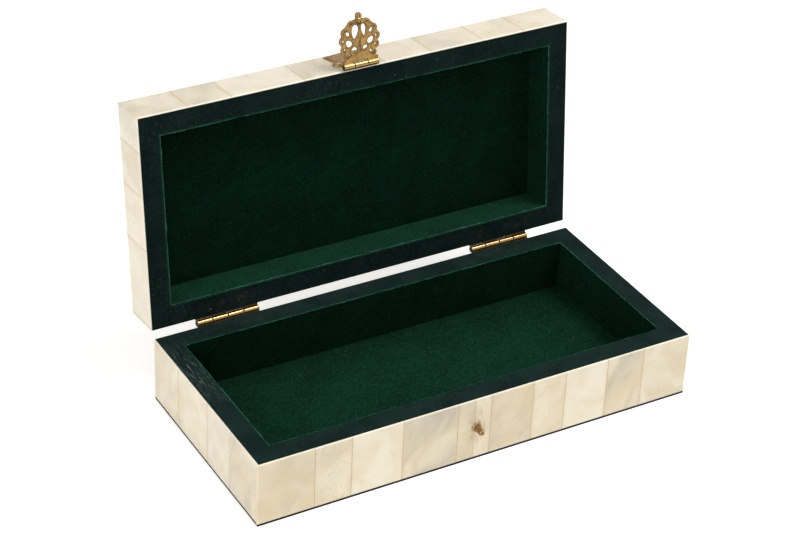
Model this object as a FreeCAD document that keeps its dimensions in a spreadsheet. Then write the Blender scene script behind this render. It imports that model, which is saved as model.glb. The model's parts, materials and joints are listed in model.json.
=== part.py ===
import FreeCAD
import Part
import Sketcher
import os

# Bone inlay box: base, hinged lid standing open, and a pierced hasp that drops over a fixed stud.
# Millimetres. +X to the right along the length, +Y to the back, +Z up.
# The origin is the centre of the felt under the base.

doc = FreeCAD.newDocument("bone_inlay_box")
dims = doc.addObject("Spreadsheet::Sheet", "dims")

driving_dimensions = [
    ("length", 254.0, "outside length over the bone"),
    ("width", 120.0, "outside width over the bone"),
    ("base_height", 37.8, "felt underside to top of the base rim"),
    ("lid_height", 23.9, "lid rim to top of the lid"),
    ("rim_gap", 0.3, "space between the two rims when closed"),
    ("bone", 1.4, "thickness of the bone tiles"),
    ("wall", 9.8, "thickness of the wooden walls"),
    ("lining", 0.8, "thickness of the velvet lining"),
    ("seam", 0.2, "filled joint between two tiles"),
    ("narrowest_tile", 3.0, "a narrower strip is left joined to its neighbour"),
    ("bottom_board", 6.8, "thickness of the board under the tray"),
    ("top_board", 1.5, "thickness of the board in the lid"),
    ("rim_cover", 0.5, "thickness of the covering on the rims"),
    ("rim_inset", 0.8, "bone left bare outside the rim covering"),
    ("felt", 1.2, "thickness of the felt under the base"),
    ("felt_inset", 0.6, "felt kept back from the outside faces"),
    ("lid_angle", 96.0, "how far the lid stands open, degrees"),
    ("hinge_inset", 43.5, "hinge middle from the end of the box"),
    ("hinge_length", 36.0, "length of each hinge"),
    ("hinge_offset", 2.6, "hinge axis behind the back face"),
    ("hinge_barrel", 1.8, "outside radius of the hinge knuckles"),
    ("hinge_pin", 0.9, "radius of the hinge pin"),
    ("hinge_pin_recess", 0.8, "pin end inside the end of the barrel"),
    ("hinge_leaf", 0.9, "thickness of the hinge leaves"),
    ("hinge_reach", 8.0, "how far a leaf reaches in from the back face"),
    ("pin_clearance", 0.05, "radial clearance of a pin in its knuckles"),
    ("knuckle_gap", 0.16, "space between two knuckles"),
    ("mortise_clearance", 0.1, "space round a leaf in its mortise"),
    ("screw_spacing", 24.0, "distance between the two screws of a leaf"),
    ("screw_shank", 0.8, "radius of the screw shank"),
    ("screw_head", 1.5, "radius of the countersunk head"),
    ("screw_sink", 0.7, "height of the countersunk head"),
    ("screw_length", 7.0, "length of the screw below its head"),
    ("fixing_clearance", 0.05, "space round a screw or pin in its hole"),
    ("hasp_centre", -0.8, "middle of the hasp from the middle of the box"),
    ("hasp_barrel", 1.7, "outside radius of the hasp knuckles"),
    ("hasp_stand_off", 0.3, "hasp barrel clear of the front face"),
    ("hasp_barrel_length", 20.4, "length of the hasp barrel"),
    ("hasp_end_knuckle", 6.2, "length of each end knuckle"),
    ("hasp_pin", 0.7, "radius of the hasp pin"),
    ("hasp_leaf", 1.0, "thickness of the pierced leaf"),
    ("hasp_plate", 0.8, "thickness of the plate on the lid"),
    ("hasp_angle", 94.0, "hasp leaf lifted from its latched place, degrees"),
    ("hasp_edge_gap", 0.6, "leaf and plate clear of the other knuckles"),
    ("catch_side", 2.5, "catch opening from the middle of the hasp"),
    ("catch_drop", 18.0, "catch opening from the hasp axis"),
    ("catch_half_width", 1.8, "half width of the catch opening"),
    ("catch_half_length", 3.5, "half length of the catch opening"),
    ("stud_shaft", 1.45, "radius of the stud"),
    ("stud_flange", 2.7, "radius of the stud's flange"),
    ("stud_flange_thick", 1.0, "thickness of the stud's flange"),
    ("stud_reach", 6.0, "stud end in front of the bone"),
    ("stud_tail", 1.0, "radius of the stud's tail in the wall"),
    ("stud_tail_length", 7.0, "length of the stud's tail"),
    ("plate_pin", 0.6, "radius of the pins that hold the hasp plate"),
    ("plate_pin_head", 1.2, "radius of their heads"),
    ("plate_pin_dome", 0.4, "height of their heads"),
    ("plate_pin_length", 7.0, "length of these pins under the head"),
    ("plate_root_half_width", 6.0, "half width of the hasp plate at the barrel"),
    ("plate_tip_half_width", 10.9, "half width of the plate at its tips"),
    ("plate_tip_distance", 21.2, "plate tips from the hasp axis"),
    ("plate_peak_half_width", 2.5, "half width of the plate's far edge"),
    ("plate_peak_distance", 22.4, "plate's far edge from the hasp axis"),
    ("plate_lobe_offset", 8.2, "side lobe from the middle of the plate"),
    ("plate_lobe_distance", 9.3, "side lobe from the hasp axis"),
    ("plate_lobe_radius", 3.2, "radius of the side lobes"),
    ("plate_notch_offset", 10.8, "side notch from the middle of the plate"),
    ("plate_notch_distance", 14.6, "side notch from the hasp axis"),
    ("plate_notch_radius", 1.7, "radius of the side notches"),
    ("middle_pin_distance", 17.5, "middle pin of the plate from the hasp axis"),
    ("leaf_disc_distance", 13.9, "middle of the leaf's disc from the hasp axis"),
    ("leaf_disc_radius", 9.8, "radius of the leaf's disc"),
    ("leaf_root_half_width", 8.8, "half width of the leaf at the barrel"),
    ("leaf_root_distance", 7.0, "end of that root from the hasp axis"),
    ("finial_neck_half_width", 1.5, "half width of the neck under the finial"),
    ("finial_distance", 26.2, "finial from the hasp axis"),
    ("finial_radius", 1.9, "radius of the finial"),
]

# Round and oval shapes of the hasp leaf, in pairs left and right of its middle.
round_columns = ("offset", "distance", "radius")
oval_columns = ("offset", "distance", "half_width", "half_length")
leaf_shapes = {
    "lobe": (
        round_columns,
        [(7.4, 5.4, 2.1), (8.9, 9.5, 2.3), (9.5, 14.0, 2.6), (7.9, 18.2, 2.4), (4.2, 21.6, 2.4)],
    ),
    "hole": (round_columns, [(6.9, 17.8, 1.0), (6.2, 6.4, 0.9), (9.6, 14.1, 0.5), (8.9, 9.6, 0.5)]),
    "drop": (oval_columns, [(6.2, 12.4, 1.6, 2.2), (3.2, 8.2, 1.5, 1.9)]),
}
drop_leans = [50.0, 10.0]
catch_lean = 8.0
for shape, (columns, rows) in leaf_shapes.items():
    for number, sizes in enumerate(rows):
        for column, size in zip(columns, sizes):
            meaning = f"{column} of the leaf's {shape} {number}"
            driving_dimensions.append((f"{shape}_{number}_{column}", size, meaning))

for row, (alias, value, meaning) in enumerate(driving_dimensions, start=1):
    dims.set(f"A{row}", meaning)
    dims.set(f"B{row}", str(value))
    dims.setAlias(f"B{row}", alias)
doc.recompute()

# Seams between the tiles, from the middle of each face.
base_front_seams = [-95.7, -75.2, -46.1, -14.5, -4.7, 5.0, 30.1, 49.7, 75.5, 98.0]
base_back_seams = [-101.0, -72.5, -50.0, -21.0, 8.0, 33.5, 57.0, 84.5, 104.0]
base_left_seams = [-29.5, -3.6, 30.3]
base_right_seams = [-33.0, -6.5, 24.0]
lid_front_seams = [-98.9, -74.6, -33.2, -10.5, 14.0, 42.1, 73.4, 99.1]
lid_back_seams = [-103.0, -79.0, -47.5, -18.0, 9.5, 38.0, 61.0, 92.0]
lid_left_seams = [-40.7, -16.0, 13.8]
lid_right_seams = [-36.0, -9.0, 20.5, 43.0]
lid_top_rows = [-40.7, -16.0, 13.8, 41.0]
lid_top_seams = [
    [-98.9, -74.6, -33.2, -4.0, 24.0, 52.0, 73.4, 99.1],
    [-107.0, -82.0, -55.0, -21.0, 10.5, 37.5, 66.0, 94.0],
    [-95.0, -63.5, -41.0, -9.5, 19.0, 45.0, 80.0, 104.5],
    [-103.0, -77.0, -48.0, -26.5, 3.0, 31.5, 59.0, 88.0],
    [-98.0, -70.0, -37.0, -12.0, 15.5, 48.5, 75.0, 101.0],
]

# Distances from the middle of the box to each layer of a side.
bone_x = "(dims.length / 2)"
bone_y = "(dims.width / 2)"
wood_x = "(dims.length / 2 - dims.bone)"
wood_y = "(dims.width / 2 - dims.bone)"
lining_x = "(dims.length / 2 - dims.bone - dims.wall)"
lining_y = "(dims.width / 2 - dims.bone - dims.wall)"
room_x = "(dims.length / 2 - dims.bone - dims.wall - dims.lining)"
room_y = "(dims.width / 2 - dims.bone - dims.wall - dims.lining)"

# Axis of the two hinges, and axis of the hasp from it.
hinge_y = "(dims.width / 2 + dims.hinge_offset)"
hinge_z = "(dims.base_height + dims.rim_gap / 2)"
hasp_offset = "(dims.hasp_barrel + dims.hasp_stand_off)"
hasp_from_hinge = f"(dims.width + dims.hinge_offset + {hasp_offset})"

nodes = []


def doc_value(expression):
    return float(dims.evalExpression(str(expression)))


def minus(expression):
    return f"-({expression})"


def both_ways(expression):
    return (minus(expression), expression)


def block(name, x_span, y_span, z_span):
    box = doc.addObject("Part::Box", name)
    spans = (x_span, y_span, z_span)
    for side, axis, (low, high) in zip(("Length", "Width", "Height"), "xyz", spans):
        box.setExpression(side, f"({high}) - ({low})")
        box.setExpression(f"Placement.Base.{axis}", str(low))
    return box


def place(thing, point, turn_axis=(0, 0, 1), turn=0.0):
    rotation = FreeCAD.Rotation(FreeCAD.Vector(*turn_axis), turn)
    thing.Placement = FreeCAD.Placement(FreeCAD.Vector(), rotation)
    for axis, expression in zip("xyz", point):
        thing.setExpression(f"Placement.Base.{axis}", str(expression))
    return thing


def rod(name, radius, height, point, along="z"):
    cylinder = doc.addObject("Part::Cylinder", name)
    cylinder.setExpression("Radius", str(radius))
    cylinder.setExpression("Height", str(height))
    turns = {"x": ((0, 1, 0), 90), "y": ((1, 0, 0), -90), "z": ((0, 0, 1), 0), "down": ((1, 0, 0), 180)}
    return place(cylinder, point, *turns[along])


def cone(name, bottom, top, height, point, along="z"):
    frustum = doc.addObject("Part::Cone", name)
    frustum.setExpression("Radius1", str(bottom))
    frustum.setExpression("Radius2", str(top))
    frustum.setExpression("Height", str(height))
    turns = {"z": ((0, 0, 1), 0), "down": ((1, 0, 0), 180)}
    return place(frustum, point, *turns[along])


def oval(name, half_width, half_length, height, point, lean):
    ring = doc.addObject("Part::Ellipse", f"{name}_ring")
    ring.setExpression("MajorRadius", str(half_length))
    ring.setExpression("MinorRadius", str(half_width))
    place(ring, point, (0, 0, 1), 90 + lean)
    prism = doc.addObject("Part::Extrusion", name)
    prism.Base = ring
    prism.DirMode = "Custom"
    prism.Dir = FreeCAD.Vector(0, 0, 1)
    prism.setExpression("LengthFwd", str(height))
    prism.Solid = True
    return prism


def taper(name, y_span, near_half, far_half, z_span):
    wedge = doc.addObject("Part::Wedge", name)
    low, high = z_span
    sizes = {"Ymin": y_span[0], "Ymax": y_span[1], "Zmin": low, "Zmax": high, "Z2min": low, "Z2max": high}
    sizes.update({"Xmin": minus(near_half), "Xmax": near_half, "X2min": minus(far_half), "X2max": far_half})
    for size, expression in sizes.items():
        wedge.setExpression(size, str(expression))
    return wedge


def fuse(name, pieces):
    union = doc.addObject("Part::MultiFuse", name)
    union.Shapes = pieces
    union.Refine = True
    return union


def cut(name, whole, tools):
    tool = tools[0] if len(tools) == 1 else doc.addObject("Part::Compound", f"{name}_tools")
    if len(tools) > 1:
        tool.Links = tools
    result = doc.addObject("Part::Cut", name)
    result.Base = whole
    result.Tool = tool
    return result


# Seats: where each body's own frame stands in the frame of the box.
base_seat = None
lid_seat = ("0", hinge_y, hinge_z, "-dims.lid_angle")
hasp_y = f"{hinge_y} - {hasp_from_hinge} * cos(dims.lid_angle * 1 deg)"
hasp_z = f"{hinge_z} + {hasp_from_hinge} * sin(dims.lid_angle * 1 deg)"
leaf_seat = ("dims.hasp_centre", hasp_y, hasp_z, "270 - dims.hasp_angle - dims.lid_angle")
pin_seat = ("dims.hasp_centre", hasp_y, hasp_z, "-dims.lid_angle")


def seat(thing, where):
    if where:
        x, y, z, turn = where
        spot = f"vector({x}; {y}; {z})"
        thing.setExpression("Placement", f"placement({spot}; rotation(vector(1; 0; 0); {turn}))")


def node(label, pieces, where=base_seat):
    group = doc.addObject("Part::Compound", label)
    group.Label = label
    group.Links = pieces
    seat(group, where)
    nodes.append(group)


# Sketches for the bodies that are drawn and padded or turned.
def drawn_body(label, plane_role, where=base_seat):
    body = doc.addObject("PartDesign::Body", label)
    body.Label = label
    seat(body, where)
    plane = next(item for item in body.Origin.OriginFeatures if item.Role == plane_role)
    sketch = body.newObject("Sketcher::SketchObject", f"{label}_sketch")
    sketch.AttachmentSupport = [(plane, "")]
    sketch.MapMode = "FlatFace"
    nodes.append(body)
    return body, sketch


def add_outline(sketch, corners):
    first = sketch.GeometryCount
    count = len(corners)
    values = [(doc_value(across), doc_value(up)) for across, up in corners]
    for index, (across, up) in enumerate(values):
        following = values[(index + 1) % count]
        line = Part.LineSegment(FreeCAD.Vector(across, up, 0), FreeCAD.Vector(*following, 0))
        sketch.addGeometry(line)
    for index, (across, up) in enumerate(corners):
        line = first + index
        sketch.addConstraint(Sketcher.Constraint("Coincident", line, 2, first + (index + 1) % count, 1))
        for kind, expression, value in zip(("DistanceX", "DistanceY"), (across, up), values[index]):
            number = sketch.addConstraint(Sketcher.Constraint(kind, -1, 1, line, 1, value))
            sketch.setExpression(f"Constraints[{number}]", str(expression))


def rectangle(half_x, half_y, middle_y="0"):
    low_y, high_y = f"{middle_y} - {half_y}", f"{middle_y} + {half_y}"
    return [(minus(half_x), low_y), (half_x, low_y), (half_x, high_y), (minus(half_x), high_y)]


def pad(body, sketch, height, start="0"):
    sketch.setExpression("AttachmentOffset.Base.z", str(start))
    feature = body.newObject("PartDesign::Pad", f"{body.Label}_pad")
    feature.Profile = sketch
    feature.setExpression("Length", str(height))


# The base and the lid are alike: layers are placed by their depth behind the rim.
class Tray:
    def __init__(self, name, where, height, skin):
        self.name = name
        self.where = where
        self.height = height
        self.skin = skin
        self.middle_y = "0" if where is base_seat else minus(hinge_y)

    def level(self, near, far):
        if self.where is base_seat:
            return (f"dims.base_height - ({far})", f"dims.base_height - ({near})")
        return (f"dims.rim_gap / 2 + ({near})", f"dims.rim_gap / 2 + ({far})")

    def block(self, name, x_span, y_span, near, far):
        shifted = [f"{self.middle_y} + ({edge})" for edge in y_span]
        return block(f"{self.name}_{name}", x_span, shifted, self.level(near, far))

    def node(self, name, pieces):
        node(f"{self.name}_{name}", pieces, self.where)


base = Tray("base", base_seat, "dims.base_height", "dims.felt")
lid = Tray("lid", lid_seat, "dims.lid_height", "dims.bone")


def sides(depth_out, depth_in):
    out_x, out_y = depth_out
    in_x, in_y = depth_in
    return {
        "front": (both_ways(out_x), (minus(out_y), minus(in_y))),
        "back": (both_ways(out_x), (in_y, out_y)),
        "left": ((minus(out_x), minus(in_x)), both_ways(in_y)),
        "right": ((in_x, out_x), both_ways(in_y)),
    }


def tile_edges(seams, half):
    reach = doc_value(half) - dims.narrowest_tile
    kept = [seam for seam in seams if abs(seam) < reach]
    lows = [minus(half)] + [f"{seam} + dims.seam / 2" for seam in kept]
    highs = [f"{seam} - dims.seam / 2" for seam in kept] + [half]
    return list(zip(lows, highs))


def tile_row(tray, face, seams, tools):
    x_span, y_span = sides((bone_x, bone_y), (wood_x, wood_y))[face]
    lengthwise = face in ("front", "back")
    far = tray.height if tray is lid else f"{tray.height} - {tray.skin}"
    tiles = []
    for number, span in enumerate(tile_edges(seams, bone_x if lengthwise else wood_y)):
        spans = (span, y_span) if lengthwise else (x_span, span)
        tiles.append(tray.block(f"{face}_tile_{number}", *spans, "dims.rim_cover", far))
    if tools:
        whole = doc.addObject("Part::Compound", f"{tray.name}_{face}_tile_row")
        whole.Links = tiles
        tiles = [cut(f"{tray.name}_{face}_tiles_cut", whole, tools)]
    tray.node(f"{face}_tiles", tiles)


def walls(tray, tools):
    far = f"{tray.height} - {tray.skin}"
    for face, (x_span, y_span) in sides((wood_x, wood_y), (lining_x, lining_y)).items():
        wall = tray.block(f"{face}_board", x_span, y_span, "dims.rim_cover", far)
        if face in tools:
            wall = cut(f"{tray.name}_{face}_wall_cut", wall, tools[face])
        tray.node(f"{face}_wall", [wall])


def closing_board(tray, name, thickness, pad_name):
    inner = f"{tray.height} - {tray.skin} - {thickness}"
    spans = (both_ways(lining_x), both_ways(lining_y))
    board = tray.block(f"{name}_blank", *spans, inner, f"{inner} + {thickness}")
    tray.node(name, [board])
    felted = f"{inner} - dims.lining"
    flat = tray.block(f"{pad_name}_pad", *spans, felted, inner)
    tray.node(pad_name, [flat])
    for face, (x_span, y_span) in sides((lining_x, lining_y), (room_x, room_y)).items():
        strip = tray.block(f"lining_{face}_strip", x_span, y_span, "0", felted)
        tray.node(f"lining_{face}", [strip])


def rim_covering(tray):
    body, sketch = drawn_body(f"{tray.name}_rim_covering", "XY_Plane", tray.where)
    edge_x = f"({bone_x} - dims.rim_inset)"
    edge_y = f"({bone_y} - dims.rim_inset)"
    add_outline(sketch, rectangle(edge_x, edge_y, tray.middle_y))
    add_outline(sketch, rectangle(lining_x, lining_y, tray.middle_y))
    pad(body, sketch, "dims.rim_cover", tray.level("0", "dims.rim_cover")[0])


# Hinges: two leaves let into the rims, with the knuckles taken in turn along one pin.
hinge_middle = "(dims.length / 2 - dims.hinge_inset)"
hinge_places = {"left": minus(hinge_middle), "right": hinge_middle}
knuckle_count = 4
knuckle = f"((dims.hinge_length - {knuckle_count - 1} * dims.knuckle_gap) / {knuckle_count})"
leaf_face = "(dims.rim_gap / 2 + dims.rim_cover)"
leaf_inner = "(-dims.hinge_offset - dims.hinge_reach)"
screw_y = "(-dims.hinge_offset - dims.hinge_reach / 2)"


def leaf_level(up, near, far):
    low, high = f"{leaf_face} + {near}", f"{leaf_face} + {far}"
    return (low, high) if up else (minus(high), minus(low))


def screw(name, centre, shift, up, room):
    x = f"{centre} + {shift} * dims.screw_spacing / 2"
    way = "z" if up else "down"
    sign = "" if up else "-"
    head_top = f"{sign}({leaf_face})"
    shank_top = f"{sign}({leaf_face} + dims.screw_sink)"
    head = cone(f"{name}_head", f"dims.screw_head + {room}", f"dims.screw_shank + {room}",
                "dims.screw_sink", (x, screw_y, head_top), way)
    length = f"dims.screw_length - dims.screw_sink + {room}"
    shank = rod(f"{name}_shank", f"dims.screw_shank + {room}", length, (x, screw_y, shank_top), way)
    return fuse(name, [head, shank])


def hinge_leaf(side, owner, up):
    centre = hinge_places[side]
    name = f"{side}_hinge_{owner}"
    half = "dims.hinge_length / 2"
    x_span = (f"{centre} - {half}", f"{centre} + {half}")
    level = leaf_level(up, "0", "dims.hinge_leaf")
    pieces = [block(f"{name}_flat", x_span, (leaf_inner, "-dims.hinge_offset"), level)]
    for number in range(1 if up else 0, knuckle_count, 2):
        start = f"{centre} - {half} + {number} * ({knuckle} + dims.knuckle_gap)"
        tab_span = (start, f"{start} + {knuckle}")
        pieces.append(block(f"{name}_tab_{number}", tab_span, ("-dims.hinge_offset", "0"), level))
        pieces.append(rod(f"{name}_knuckle_{number}", "dims.hinge_barrel", knuckle, (start, "0", "0"), "x"))
    holes = [screw(f"{name}_hole_{shift}", centre, shift, up, "dims.fixing_clearance") for shift in (-1, 1)]
    holes.append(rod(f"{name}_bore", "dims.hinge_pin + dims.pin_clearance", "dims.hinge_length",
                     (f"{centre} - {half}", "0", "0"), "x"))
    return cut(f"{name}_bored", fuse(f"{name}_whole", pieces), holes)


def hinge_pin(side):
    start = f"{hinge_places[side]} - dims.hinge_length / 2 + dims.hinge_pin_recess"
    length = "dims.hinge_length - 2 * dims.hinge_pin_recess"
    return rod(f"{side}_hinge_pin_rod", "dims.hinge_pin", length, (start, "0", "0"), "x")


def mortises(owner, up):
    tools = []
    for side, centre in hinge_places.items():
        half = "(dims.hinge_length / 2 + dims.mortise_clearance)"
        x_span = (f"{centre} - {half}", f"{centre} + {half}")
        y_span = (f"{leaf_inner} - dims.mortise_clearance", "-dims.hinge_offset")
        level = leaf_level(up, "0", "dims.hinge_leaf")
        name = f"{side}_{owner}_mortise"
        tools.append(block(name, x_span, y_span, level))
        for shift in (-1, 1):
            tools.append(screw(f"{name}_pilot_{shift}", centre, shift, up, "dims.fixing_clearance"))
    return tools


def seated_tools(name, tools, where):
    group = doc.addObject("Part::Compound", name)
    group.Links = tools
    seat(group, where)
    return group


hinge_seat = ("0", hinge_y, hinge_z, "0")
for side in hinge_places:
    node(f"{side}_hinge_base_leaf", [hinge_leaf(side, "base", False)], hinge_seat)
    node(f"{side}_hinge_lid_leaf", [hinge_leaf(side, "lid", True)], lid_seat)
    node(f"{side}_hinge_pin", [hinge_pin(side)], hinge_seat)
for owner, up, where in (("base", False, hinge_seat), ("lid", True, lid_seat)):
    screws = [screw(f"{owner}_{side}_screw_{shift}", centre, shift, up, "0")
              for side, centre in hinge_places.items() for shift in (-1, 1)]
    node(f"hinge_{owner}_screws", screws, where)

# Catch stud: turned brass with a flange against the bone and a dimpled end.
stud_x = "(dims.hasp_centre - dims.catch_side)"
stud_z = f"({hinge_z} - dims.catch_drop)"
stud_dimple = "(dims.stud_shaft / 2)"
stud_body, stud_sketch = drawn_body("catch_stud", "XZ_Plane", (stud_x, minus(bone_y), stud_z, "90"))
add_outline(stud_sketch, [
    ("0", "-dims.stud_tail_length"),
    ("dims.stud_tail", "-dims.stud_tail_length"),
    ("dims.stud_tail", "0"),
    ("dims.stud_flange", "0"),
    ("dims.stud_flange", "dims.stud_flange_thick"),
    ("dims.stud_shaft", "dims.stud_flange_thick"),
    ("dims.stud_shaft", "dims.stud_reach"),
    (stud_dimple, "dims.stud_reach"),
    ("0", f"dims.stud_reach - {stud_dimple}"),
])
stud_turned = stud_body.newObject("PartDesign::Revolution", "catch_stud_turned")
stud_turned.Profile = stud_sketch
stud_turned.ReferenceAxis = (stud_sketch, ["V_Axis"])
stud_turned.Angle = 360
stud_hole = rod("stud_hole", "dims.stud_tail + dims.fixing_clearance",
                "dims.stud_tail_length + dims.fixing_clearance", (stud_x, minus(bone_y), stud_z), "y")

# Hasp plate on the lid front. Drawn flat: X across, Y away from the barrel, Z out from the bone.
plate_pin_places = [
    ("-dims.plate_lobe_offset", "dims.plate_lobe_distance"),
    ("dims.plate_lobe_offset", "dims.plate_lobe_distance"),
    ("0", "dims.middle_pin_distance"),
]
plate_start = "(dims.hasp_barrel + dims.hasp_edge_gap)"
plate_level = ("0", "dims.hasp_plate")
middle_half = "(dims.hasp_barrel_length / 2 - dims.hasp_end_knuckle - dims.knuckle_gap)"
hasp_bore = "dims.hasp_pin + dims.pin_clearance"


def plate_pin(name, spot, room):
    x, y = spot
    start = f"dims.hasp_plate - dims.plate_pin_length - {room}"
    return rod(name, f"dims.plate_pin + {room}", f"dims.plate_pin_length + {room}", (x, y, start))


def plate_pins():
    pins = []
    for number, (x, y) in enumerate(plate_pin_places):
        shank = plate_pin(f"plate_pin_shank_{number}", (x, y), "0")
        head = cone(f"plate_pin_head_{number}", "dims.plate_pin_head", "dims.plate_pin",
                    "dims.plate_pin_dome", (x, y, "dims.hasp_plate"))
        pins.append(fuse(f"plate_pin_{number}", [shank, head]))
    return pins


def plate_pin_holes(name):
    return [plate_pin(f"{name}_{number}", spot, "dims.fixing_clearance")
            for number, spot in enumerate(plate_pin_places)]


def hasp_plate():
    fan = taper("plate_fan", (plate_start, "dims.plate_tip_distance"),
                "dims.plate_root_half_width", "dims.plate_tip_half_width", plate_level)
    crest = taper("plate_crest", ("dims.plate_tip_distance", "dims.plate_peak_distance"),
                  "dims.plate_tip_half_width", "dims.plate_peak_half_width", plate_level)
    neck_span = ("0", f"{plate_start} + dims.hasp_barrel")
    neck = block("plate_neck", both_ways(middle_half), neck_span, plate_level)
    axle = (minus(middle_half), "0", hasp_offset)
    barrel = rod("plate_knuckle", "dims.hasp_barrel", f"2 * {middle_half}", axle, "x")
    pieces = [fan, crest, neck, barrel]
    tools = plate_pin_holes("plate_hole")
    for side in (-1, 1):
        spot = (f"{side} * dims.plate_lobe_offset", "dims.plate_lobe_distance", "0")
        pieces.append(rod(f"plate_lobe_{side}", "dims.plate_lobe_radius", "dims.hasp_plate", spot))
        spot = (f"{side} * dims.plate_notch_offset", "dims.plate_notch_distance", "0")
        tools.append(rod(f"plate_notch_{side}", "dims.plate_notch_radius", "dims.hasp_plate", spot))
    tools.append(rod("plate_bore", hasp_bore, f"2 * {middle_half}", axle, "x"))
    return cut("plate_bored", fuse("plate_whole", pieces), tools)


plate_y = f"{hinge_y} - (dims.width + dims.hinge_offset) * cos(dims.lid_angle * 1 deg)"
plate_z = f"{hinge_z} + (dims.width + dims.hinge_offset) * sin(dims.lid_angle * 1 deg)"
plate_seat = ("dims.hasp_centre", plate_y, plate_z, "90 - dims.lid_angle")
node("hasp_plate", [hasp_plate()], plate_seat)
node("hasp_plate_pins", plate_pins(), plate_seat)
pin_half = "(dims.hasp_barrel_length / 2 - dims.hinge_pin_recess)"
hasp_pin = rod("hasp_pin_rod", "dims.hasp_pin", f"2 * {pin_half}", (minus(pin_half), "0", "0"), "x")
node("hasp_pin", [hasp_pin], pin_seat)

# Hasp leaf: a scalloped palmette. Drawn flat: X across, Y away from the barrel.
leaf_thick = "dims.hasp_leaf"
leaf_back = "-dims.hasp_leaf / 2"
leaf_flat = (leaf_back, "dims.hasp_leaf / 2")


def leaf_shape(shape, number, side):
    columns = leaf_shapes[shape][0]
    offset, distance, *radii = [f"dims.{shape}_{number}_{column}" for column in columns]
    name = f"leaf_{shape}_{number}_{side}"
    spot = (f"{side} * {offset}", distance, leaf_back)
    if shape == "drop":
        return oval(name, *radii, leaf_thick, spot, -side * drop_leans[number])
    return rod(name, *radii, leaf_thick, spot)


def hasp_leaf():
    end = "(dims.hasp_barrel_length / 2)"
    inner_end = "(dims.hasp_barrel_length / 2 - dims.hasp_end_knuckle)"
    start = "(dims.hasp_barrel + dims.hasp_edge_gap)"
    root_span = (start, "dims.leaf_root_distance")
    neck_span = ("dims.leaf_disc_distance", "dims.finial_distance")
    pieces = [
        rod("leaf_disc", "dims.leaf_disc_radius", leaf_thick, ("0", "dims.leaf_disc_distance", leaf_back)),
        block("leaf_root", both_ways("dims.leaf_root_half_width"), root_span, leaf_flat),
        block("finial_neck", both_ways("dims.finial_neck_half_width"), neck_span, leaf_flat),
        rod("finial", "dims.finial_radius", leaf_thick, ("0", "dims.finial_distance", leaf_back)),
    ]
    openings = [rod("leaf_bore", hasp_bore, "dims.hasp_barrel_length", (minus(end), "0", "0"), "x")]
    for side in (-1, 1):
        knuckle_span = (inner_end, end) if side > 0 else (minus(end), minus(inner_end))
        tab_span = ("0", f"{start} + dims.hasp_leaf")
        pieces.append(block(f"leaf_tab_{side}", knuckle_span, tab_span, leaf_flat))
        pieces.append(rod(f"leaf_knuckle_{side}", "dims.hasp_barrel", "dims.hasp_end_knuckle",
                          (knuckle_span[0], "0", "0"), "x"))
        for shape, (columns, rows) in leaf_shapes.items():
            made = [leaf_shape(shape, number, side) for number in range(len(rows))]
            (pieces if shape == "lobe" else openings).extend(made)
        catch_spot = (f"{side} * dims.catch_side", "dims.catch_drop", leaf_back)
        openings.append(oval(f"catch_opening_{side}", "dims.catch_half_width", "dims.catch_half_length",
                             leaf_thick, catch_spot, side * catch_lean))
    return cut("leaf_pierced", fuse("leaf_whole", pieces), openings)


node("hasp_leaf", [hasp_leaf()], leaf_seat)

# Base: walls, tiles, bottom board, lining, rim covering and felt.
base_mortises = seated_tools("base_mortises", mortises("base", False), hinge_seat)
walls(base, {"back": [base_mortises], "front": [stud_hole]})
tile_row(base, "front", base_front_seams, [stud_hole])
tile_row(base, "back", base_back_seams, [base_mortises])
tile_row(base, "left", base_left_seams, None)
tile_row(base, "right", base_right_seams, None)
closing_board(base, "bottom_board", "dims.bottom_board", "lining_floor")
rim_covering(base)
felt_body, felt_sketch = drawn_body("base_felt", "XY_Plane")
add_outline(felt_sketch, rectangle(f"({bone_x} - dims.felt_inset)", f"({bone_y} - dims.felt_inset)"))
pad(felt_body, felt_sketch, "dims.felt")

# Lid: the same layers the other way up, with tiles in rows over its top.
lid_mortises = seated_tools("lid_mortises", mortises("lid", True), None)
plate_on_lid = ("dims.hasp_centre", "-(dims.width + dims.hinge_offset)", "0", "90")
lid_pin_holes = seated_tools("lid_pin_holes", plate_pin_holes("lid_pin_hole"), plate_on_lid)
walls(lid, {"back": [lid_mortises], "front": [lid_pin_holes]})
tile_row(lid, "front", lid_front_seams, [lid_pin_holes])
tile_row(lid, "back", lid_back_seams, [lid_mortises])
tile_row(lid, "left", lid_left_seams, None)
tile_row(lid, "right", lid_right_seams, None)
top_tiles = []
for row, y_span in enumerate(tile_edges(lid_top_rows, wood_y)):
    for number, x_span in enumerate(tile_edges(lid_top_seams[row], wood_x)):
        top_tiles.append(lid.block(f"top_tile_{row}_{number}", x_span, y_span, "dims.lid_height - dims.bone",
                                   "dims.lid_height"))
lid.node("top_tiles", top_tiles)
closing_board(lid, "top_board", "dims.top_board", "lining_top")
rim_covering(lid)

doc.recompute()

# Nothing is written unless every piece came out whole.
for thing in doc.Objects:
    if "Invalid" in thing.State or "Error" in thing.State:
        raise RuntimeError(f"{thing.Name} failed: {thing.State}")
for piece in nodes:
    if piece.Shape.isNull() or not piece.Shape.isValid() or piece.Shape.Volume <= 0:
        raise RuntimeError(f"{piece.Label} has no sound shape")

os.makedirs("parts", exist_ok=True)
for piece in nodes:
    piece.Shape.exportStep(f"parts/{piece.Label}.step")
    print(f"{piece.Label}: {len(piece.Shape.Solids)} solids, {piece.Shape.Volume:.1f} cubic mm")
print(f"{len(nodes)} nodes")
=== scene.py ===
import json
import math
import random

import bmesh
import bpy
from mathutils import Matrix, Vector, noise

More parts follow.
